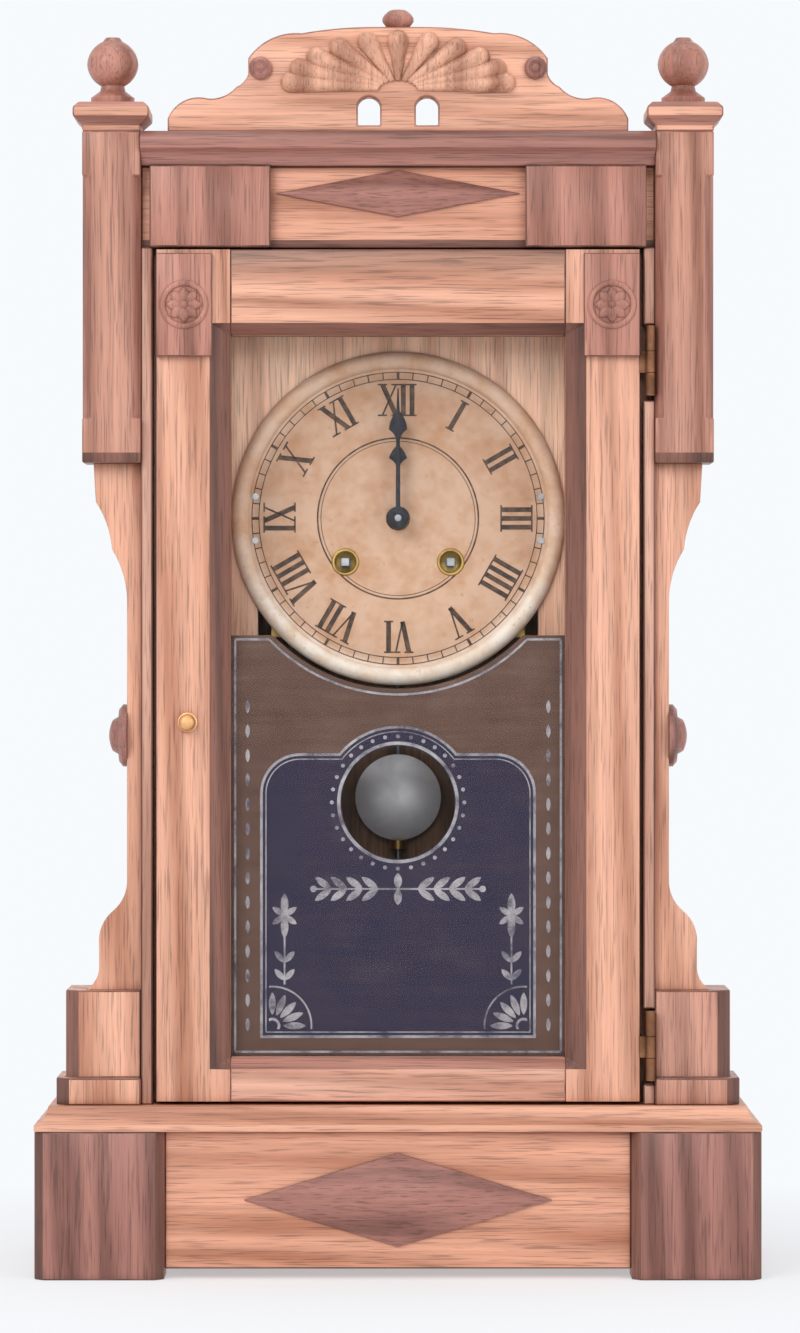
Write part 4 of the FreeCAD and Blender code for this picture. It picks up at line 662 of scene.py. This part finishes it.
def corner_rosettes():
    """A hoop, leaves and a button on each of the door's corner blocks, in place of the plain roundels."""
    choose(corner_blocks, lambda middle, normal: middle.y < BLOCK_FACE - IN_FRONT)
    bpy.ops.mesh.select_linked()
    bpy.ops.mesh.delete(type="VERT")
    done()
    petal = crowned_leaf(**PETAL)
    pieces = [hoop(**ROSETTE_HOOP), button(**ROSETTE_BUTTON)]
    pieces += [copy_of(petal, turn=step * math.tau / PETALS) for step in range(PETALS)]
    bpy.data.objects.remove(petal)
    rosette = joined("rosette", pieces)
    x, z = BLOCK_MIDDLE
    pair = [copy_of(rosette, (side * x, BLOCK_FACE, z)) for side in (-1, 1)]
    bpy.data.objects.remove(rosette)
    return fitted(joined("corner_rosettes", pair), "door", "walnut_mid", mid_up)


WINDING_HOLE = (24.0, 320.6)
COLLET = {"radius": 5.5, "wire": 0.8, "flat": 0.7}


def winding_collets():
    """Brass rims round the two winding holes."""
    rim = hoop(**COLLET)
    x, z = WINDING_HOLE
    pair = [copy_of(rim, (side * x, DIAL_FACE, z)) for side in (-1, 1)]
    bpy.data.objects.remove(rim)
    return fitted(joined("winding_collets", pair), "case", "brass", brass)


NAIL_HEAD = {"radius": 2.2, "rise": 0.7}
NAILS_UP, NAIL_STEP, NAILS_ACROSS = 7, 44.0, (-1.5, -0.5, 0.5, 1.5)
BACK_FACE = 64.0
NAILED_HALF, NAILED_LOW, NAILED_HIGH = 110.0, 84.0, 506.0


def back_nails():
    """Nails with domed heads round the back board."""
    head = button(**NAIL_HEAD)
    head.data.transform(Matrix.Rotation(math.pi, 4, "Z"))
    gap = (NAILED_HIGH - NAILED_LOW) / (NAILS_UP - 1)
    places = [(side * NAILED_HALF, NAILED_LOW + step * gap) for side in (-1, 1) for step in range(NAILS_UP)]
    for end in (NAILED_LOW, NAILED_HIGH):
        places += [(step * NAIL_STEP, end) for step in NAILS_ACROSS]
    pieces = [copy_of(head, (x, BACK_FACE, z)) for x, z in places]
    bpy.data.objects.remove(head)
    return fitted(joined("back_nails", pieces), "case", "steel", iron)


corner_rosettes()
winding_collets()
back_nails()


# Dial print

NUMERAL_RADIUS = 54.0
NUMERAL_HEIGHT = 14.0
THICK_STROKE = 2.2
THIN_STROKE = 0.8
STROKE_INSET = 0.2
SERIF, SERIF_REACH = 0.7, 2.1
LETTER_WIDTH = {"I": 4.0, "V": 8.6, "X": 8.8}
PRINT, PRINT_CLEAR = 0.108, 0.012
TRACK_OUTER, TRACK_INNER, TRACK_LINE = 66.6, 63.4, 0.4
DIAL_RINGS = ((37.0, 36.3), (35.3, 35.0))
MINUTE_TICK, HOUR_TICK = 0.5, 1.3


def numeral(letters):
    """A Roman numeral with thick and thin strokes and serifs, standing on the origin's level."""
    low, high = -NUMERAL_HEIGHT / 2, NUMERAL_HEIGHT / 2
    x = -sum(LETTER_WIDTH[letter] for letter in letters) / 2
    strokes = []
    for letter in letters:
        wide = LETTER_WIDTH[letter]
        middle = x + wide / 2
        reach = wide / 2 - THICK_STROKE / 2 - STROKE_INSET
        if letter == "I":
            strokes.append(bar((middle, low), (middle, high), THICK_STROKE))
            ends = [(middle, low), (middle, high)]
        elif letter == "V":
            strokes.append(bar((middle - reach, high), (middle, low), THICK_STROKE))
            strokes.append(bar((middle + reach, high), (middle, low), THIN_STROKE))
            ends = [(middle - reach, high), (middle + reach, high)]
        else:
            strokes.append(bar((middle - reach, high), (middle + reach, low), THICK_STROKE))
            strokes.append(bar((middle + reach, high), (middle - reach, low), THIN_STROKE))
            ends = [(middle + side * reach, end) for side in (-1, 1) for end in (low, high)]
        for end_x, end_z in ends:
            strokes.append(bar((end_x - SERIF_REACH, end_z), (end_x + SERIF_REACH, end_z), SERIF))
        x += wide
    return joined("numeral", strokes)


def dial_print():
    """Hour numerals, the minute track and two thin rings."""
    pieces = []
    for hour, letters in enumerate("XII I II III IIII V VI VII VIII IX X XI".split()):
        turn = hour * math.tau / 12
        flat = numeral(letters)
        flat.location = (0, 0, NUMERAL_RADIUS * MM)
        settled(flat)
        pieces.append(copy_of(flat, turn=turn))
        bpy.data.objects.remove(flat)
    half = TRACK_LINE / 2
    lines = [(middle + half, middle - half) for middle in (TRACK_OUTER, TRACK_INNER)]
    pieces += [ring(outer, inner, ROUND_SIDES) for outer, inner in (*lines, *DIAL_RINGS)]
    tick = bar((0, TRACK_INNER), (0, TRACK_OUTER), MINUTE_TICK)
    mark = bar((0, TRACK_INNER - half), (0, TRACK_OUTER + half), HOUR_TICK)
    for minute in range(60):
        pieces.append(copy_of(tick if minute % 5 else mark, turn=minute * math.tau / 60))
    bpy.data.objects.remove(tick)
    bpy.data.objects.remove(mark)
    obj = joined("dial_print", pieces)
    obj.location.z = DIAL_HEIGHT * MM
    thick(settled(obj), DIAL_FACE - PRINT - PRINT_CLEAR, PRINT)
    return fitted(obj, "case", "hand_paint", ink)


dial_print()


# Tablet: a bronzed ground and a dark panel that is crowned round a clear window, with a silver stencil

TABLET_HIGH = 287.0
ARCH_RADIUS = 77.5
WINDOW_RADIUS = 25.5
CROWN_RADIUS = 34.5
PANEL_HALF, PANEL_LOW, PANEL_HIGH, PANEL_CORNER = 62.0, 106.0, 234.0, 18.0
STENCIL_BEHIND, STENCIL = 0.03, 0.08
PANEL_BEHIND, PANEL_FILM = 0.14, 0.1
GROUND_BEHIND, GROUND_FILM, GROUND_LAP = 0.28, 0.25, 0.5
CUTTER_DEPTH = 4.0


def cut_round(obj, radius, height):
    """Cuts a round hole front to back through a thin sheet by the glass."""
    place = {"rotation": FACING, "location": (0, GLASS_BACK * MM, height * MM)}
    size = {"radius": radius * MM, "depth": CUTTER_DEPTH * MM}
    bpy.ops.mesh.primitive_cylinder_add(vertices=FINE_SIDES, **size, **place)
    cutter = settled(named("cutter"))
    changed(obj, "BOOLEAN", operation="DIFFERENCE", object=cutter, solver="EXACT")
    bpy.data.objects.remove(cutter)


def sheet(half, low, high, corner=0.0):
    """A flat sheet whose upper corners can be rounded."""
    bpy.ops.mesh.primitive_plane_add(size=1, rotation=FACING)
    obj = settled(named("sheet"))
    obj.scale = (half * 2 * MM, 1, (high - low) * MM)
    obj.location.z = (high + low) / 2 * MM
    settled(obj)
    if corner:
        bpy.ops.object.mode_set(mode="EDIT")
        bpy.ops.mesh.select_mode(type="VERT")
        bpy.ops.mesh.select_all(action="DESELECT")
        mesh = bmesh.from_edit_mesh(obj.data)
        for vertex in mesh.verts:
            vertex.select_set(vertex.co.z > low * MM + corner * MM)
        bmesh.update_edit_mesh(obj.data)
        bpy.ops.mesh.bevel(offset=corner * MM, segments=14, affect="VERTICES")
        done()
    return obj


def sheet_line(half, low, high, corner, wide):
    """The outermost part of such a sheet, as a line."""
    obj = sheet(half, low, high, corner)
    choose(obj, everything)
    bpy.ops.mesh.inset(thickness=wide * MM)
    bpy.ops.mesh.delete(type="FACE")
    done()
    return obj


def repeated(shape, places):
    """Copies of a flat shape at (x, z, turn), the shape itself being used up."""
    made = [copy_of(shape, (x, 0, z), turn) for x, z, turn in places]
    bpy.data.objects.remove(shape)
    return made


def tablet_films():
    """Two films of paint on the lower part of the glass: the ground, arched round the dial, and the panel."""
    ground = sheet(SIGHT_HALF + GROUND_LAP, SIGHT_LOW - GROUND_LAP, TABLET_HIGH)
    thick(ground, GLASS_BACK + GROUND_BEHIND, GROUND_FILM)
    cut_round(ground, WINDOW_RADIUS, BOB_HEIGHT)
    cut_round(ground, ARCH_RADIUS, DIAL_HEIGHT)
    ground.name = "tablet_ground"
    fitted(ground, "door", "hand_paint", tablet_bronze)
    panel = sheet(PANEL_HALF, PANEL_LOW, PANEL_HIGH, PANEL_CORNER)
    crown = repeated(spot(CROWN_RADIUS, ROUND_SIDES), [(0, BOB_HEIGHT, 0.0)])[0]
    for film in (panel, crown):
        thick(film, GLASS_BACK + PANEL_BEHIND, PANEL_FILM)
    changed(panel, "BOOLEAN", operation="UNION", object=crown, solver="EXACT")
    bpy.data.objects.remove(crown)
    cut_round(panel, WINDOW_RADIUS, BOB_HEIGHT)
    panel.name = "tablet_panel"
    fitted(panel, "door", "hand_paint", tablet_black)


def kept(obj, height, upward):
    """Cuts away what is below a height, or above it."""
    choose(obj, everything)
    bpy.ops.mesh.bisect(plane_co=(0, 0, height * MM), plane_no=(0, 0, -1 if upward else 1), clear_outer=True)
    done()
    return obj


def stencilled(flat):
    """Gives a flat drawing the thickness and the place of the silver."""
    return thick(flat, GLASS_BACK + STENCIL_BEHIND, STENCIL)


def panel_outline(inset, wide):
    """A line round the panel and over its crown."""
    half, low, high = PANEL_HALF - inset, PANEL_LOW + inset, PANEL_HIGH - inset
    radius = CROWN_RADIUS - inset
    line = stencilled(sheet_line(half, low, high, PANEL_CORNER - inset, wide))
    cut_round(line, radius, BOB_HEIGHT)
    crown = repeated(ring(radius, radius - wide, ROUND_SIDES), [(0, BOB_HEIGHT, 0.0)])[0]
    return [line, stencilled(kept(crown, high - wide, True))]


FAN_LEAF, FAN_LEAVES, FAN_START = (10.0, 3.2), 5, 5.0
FAN_RIMS = ((18.0, 17.2), (3.6, 2.4))
FAN_PAST = 1.5


def corner_fan():
    """A quarter fan of leaves that opens up and to the right."""
    turns = [step * math.pi / 2 / (FAN_LEAVES - 1) for step in range(FAN_LEAVES)]
    places = [(FAN_START * math.sin(turn), FAN_START * math.cos(turn), turn) for turn in turns]
    pieces = repeated(leaf(*FAN_LEAF), places)
    for outer, inner in FAN_RIMS:
        rim = ring(outer, inner)
        choose(rim, everything)
        bpy.ops.mesh.bisect(plane_co=(-FAN_PAST * MM, 0, 0), plane_no=(-1, 0, 0), clear_outer=True)
        bpy.ops.mesh.select_all(action="SELECT")
        bpy.ops.mesh.bisect(plane_co=(0, 0, -FAN_PAST * MM), plane_no=(0, 0, -1), clear_outer=True)
        done()
        pieces.append(rim)
    return joined("corner_fan", pieces)


def edge_line(half, low, high, arch, wide):
    """A line along the tablet's edge: three sides, the two shoulders and the arch under the dial."""
    shoulder = math.sqrt(arch * arch - (DIAL_HEIGHT - high) ** 2)
    lines = [bar((-half, low), (half, low), wide)]
    for side in (-1, 1):
        lines.append(bar((side * half, low), (side * half, high), wide))
        lines.append(bar((side * half, high), (side * shoulder, high), wide))
    curve = ring(arch + wide / 2, arch - wide / 2, FINE_SIDES)
    lines.append(kept(copy_of(curve, (0, 0, DIAL_HEIGHT)), high, False))
    bpy.data.objects.remove(curve)
    return lines


STEM = 0.8
BRANCH_REACH, BRANCH_START, BRANCH_STEP, BRANCH_PAIRS = 37.0, 9.0, 7.0, 4
BRANCH_LEAF, BRANCH_LEAN, BRANCH_SPOT = (9.0, 3.2), math.radians(54), 1.5
MIDDLE_LEAF = (7.2, 3.6)


def branch(level):
    """A straight branch with leaves in pairs to both sides, and an upright pair in the middle."""
    pieces = [bar((-BRANCH_REACH, level), (BRANCH_REACH, level), STEM)]
    spots, leaves = [], []
    for side in (-1, 1):
        for step in range(BRANCH_PAIRS):
            along = side * (BRANCH_START + step * BRANCH_STEP)
            leaves += [(along, level, side * BRANCH_LEAN), (along, level, side * (math.pi - BRANCH_LEAN))]
        spots.append((side * (BRANCH_REACH + 1), level, 0.0))
    pieces += repeated(leaf(*BRANCH_LEAF), leaves)
    pieces += repeated(spot(BRANCH_SPOT), spots)
    return pieces + repeated(leaf(*MIDDLE_LEAF), [(0, level, 0.0), (0, level, math.pi)])


SPRIG_LEAF, SPRIG_LEAFLET = (10.0, 3.6), (6.6, 2.7)
SPRIG_TURNS = [math.radians(turn) for turn in (55, -55, 125, -125)]
SPRIG_PAIRS, SPRIG_LEAN = (2.0, 10.0), math.radians(42)


def sprig(x, low, high):
    """Six leaves from one point, on a stem with two pairs of leaves."""
    leaflets = [(x, high, turn) for turn in SPRIG_TURNS]
    leaflets += [(x, low + step, side * SPRIG_LEAN) for step in SPRIG_PAIRS for side in (-1, 1)]
    pieces = [bar((x, low), (x, high), STEM)]
    pieces += repeated(leaf(*SPRIG_LEAF), [(x, high, 0.0), (x, high, math.pi)])
    return pieces + repeated(leaf(*SPRIG_LEAFLET), leaflets)


EDGE_INSET, EDGE_WIDE = 1.8, 1.0
EDGE_LEAF, EDGE_LEAVES = (6.0, 2.0), 14
EDGE_LEAF_LOW, EDGE_LEAF_STEP = 109.0, 11.0


def edge_leaves():
    """A row of small leaves up both sides of the border."""
    middle = (SIGHT_HALF - EDGE_INSET + PANEL_HALF) / 2
    heights = [EDGE_LEAF_LOW + step * EDGE_LEAF_STEP for step in range(EDGE_LEAVES)]
    return repeated(leaf(*EDGE_LEAF), [(side * middle, z, 0.0) for side in (-1, 1) for z in heights])


ARCH_LINE = ARCH_RADIUS + 2.6
WINDOW_RING = (27.4, 25.9)
BEADS, BEAD, BEAD_RING = 32, 0.9, 29.8
FAN_INSET = 5.5
BRANCH_HEIGHT = 173.0
SPRIG_X, SPRIG_LOW, SPRIG_HIGH = 51.0, 130.0, 161.0
PANEL_LINES = ((0.0, 1.2), (2.4, 0.5))


def tablet_stencil():
    """The silver: edge line, beaded ring, fans, branch, sprigs, leaves and the panel's lines."""
    low, high = SIGHT_LOW + EDGE_INSET, TABLET_HIGH - EDGE_INSET
    pieces = edge_line(SIGHT_HALF - EDGE_INSET, low, high, ARCH_LINE, EDGE_WIDE)
    pieces += repeated(ring(*WINDOW_RING), [(0, BOB_HEIGHT, 0.0)])
    turns = [step * math.tau / BEADS for step in range(BEADS)]
    beads = [(BEAD_RING * math.sin(turn), BOB_HEIGHT + BEAD_RING * math.cos(turn), 0.0) for turn in turns]
    pieces += repeated(spot(BEAD), beads)
    fan = corner_fan()
    x, z = PANEL_HALF - FAN_INSET, PANEL_LOW + FAN_INSET
    pieces += [copy_of(fan, (-x, 0, z)), copy_of(fan, (x, 0, z), flip=True)]
    bpy.data.objects.remove(fan)
    pieces += branch(BRANCH_HEIGHT) + edge_leaves()
    for side in (-1, 1):
        pieces += sprig(side * SPRIG_X, SPRIG_LOW, SPRIG_HIGH)
    parts = [stencilled(joined("stencil", pieces))]
    for inset, wide in PANEL_LINES:
        parts += panel_outline(inset, wide)
    return fitted(joined("tablet_stencil", parts), "door", "bob_plate", silver)


tablet_films()
tablet_stencil()


# Stage: a pale floor that fades into the background, soft lamps and the camera

BACKGROUND = colour(247, 250, 253)


def pale_floor():
    """A wide round floor that keeps the clock's shadow and is as pale as the background further out."""
    bpy.ops.mesh.primitive_circle_add(vertices=128, radius=9, fill_type="NGON")
    obj = named("floor")
    finish = Finish("pale_floor", base_color=colour(252, 252, 253), roughness=0.9, specular_ior_level=0.0)
    away = finish.node("ShaderNodeVectorMath", {0: finish.place}, operation="LENGTH").outputs["Value"]
    fade = finish.ramp(away, (0.1, 0.45), (0.4, 1.0))
    finish.blended(fade, finish.node("ShaderNodeEmission", {"Color": BACKGROUND, "Strength": 1.0}).outputs[0])
    obj.data.materials.append(finish.material)


def studio(strength):
    """Even light from all round, with the background as pale as the floor wherever it is seen or mirrored."""
    world = bpy.data.worlds.new("studio")
    bpy.context.scene.world = world
    world.use_nodes = True
    nodes, links = world.node_tree.nodes, world.node_tree.links
    light = nodes["Background"]
    light.inputs["Color"].default_value = (0.97, 0.985, 1.0, 1.0)
    light.inputs["Strength"].default_value = strength
    seen = nodes.new("ShaderNodeBackground")
    seen.inputs["Color"].default_value = BACKGROUND
    rays = nodes.new("ShaderNodeLightPath").outputs
    any_of = rays["Is Camera Ray"]
    for kind in ("Is Transmission Ray", "Is Glossy Ray"):
        larger = nodes.new("ShaderNodeMath")
        larger.operation = "MAXIMUM"
        links.new(any_of, larger.inputs[0])
        links.new(rays[kind], larger.inputs[1])
        any_of = larger.outputs[0]
    blend = nodes.new("ShaderNodeMixShader")
    links.new(any_of, blend.inputs[0])
    links.new(light.outputs[0], blend.inputs[1])
    links.new(seen.outputs[0], blend.inputs[2])
    links.new(blend.outputs[0], nodes["World Output"].inputs["Surface"])


def lamp(name, at, aim, size, power):
    """A round lamp that isn't itself seen through the glass."""
    bpy.ops.object.light_add(type="AREA", location=at)
    obj = bpy.context.active_object
    obj.name = name
    obj.data.shape = "DISK"
    obj.data.size = size
    obj.data.energy = power
    obj.visible_transmission = False
    obj.rotation_euler = (Vector(aim) - Vector(at)).to_track_quat("-Z", "Y").to_euler()


pale_floor()
studio(0.5)
MIDDLE = (0, 0, 0.3)
lamp("key", (-1.3, -2.2, 1.7), MIDDLE, 1.4, 26)
lamp("fill", (1.5, -2.0, 0.9), MIDDLE, 1.6, 10)
lamp("front", (0, -2.2, 0.8), MIDDLE, 0.3, 3.4)
lamp("top", (0, -0.3, 2.4), MIDDLE, 1.6, 14)

PICTURE_ROWS, ROW_HIGH = 1333, 0.447 * MM
CAMERA_AWAY, CASE_FRONT = 2.2, -0.052
CAMERA_SIDE, CAMERA_HEIGHT = 0.0009, 0.273
SENSOR = 36
bpy.ops.object.camera_add(location=(CAMERA_SIDE, CASE_FRONT - CAMERA_AWAY, CAMERA_HEIGHT), rotation=FACING)
camera = bpy.context.active_object
camera.data.sensor_width = SENSOR
camera.data.lens = SENSOR * CAMERA_AWAY / (PICTURE_ROWS * ROW_HIGH)
camera.data.clip_end = 30
bpy.context.scene.camera = camera
bpy.context.scene.view_settings.view_transform = "Standard"
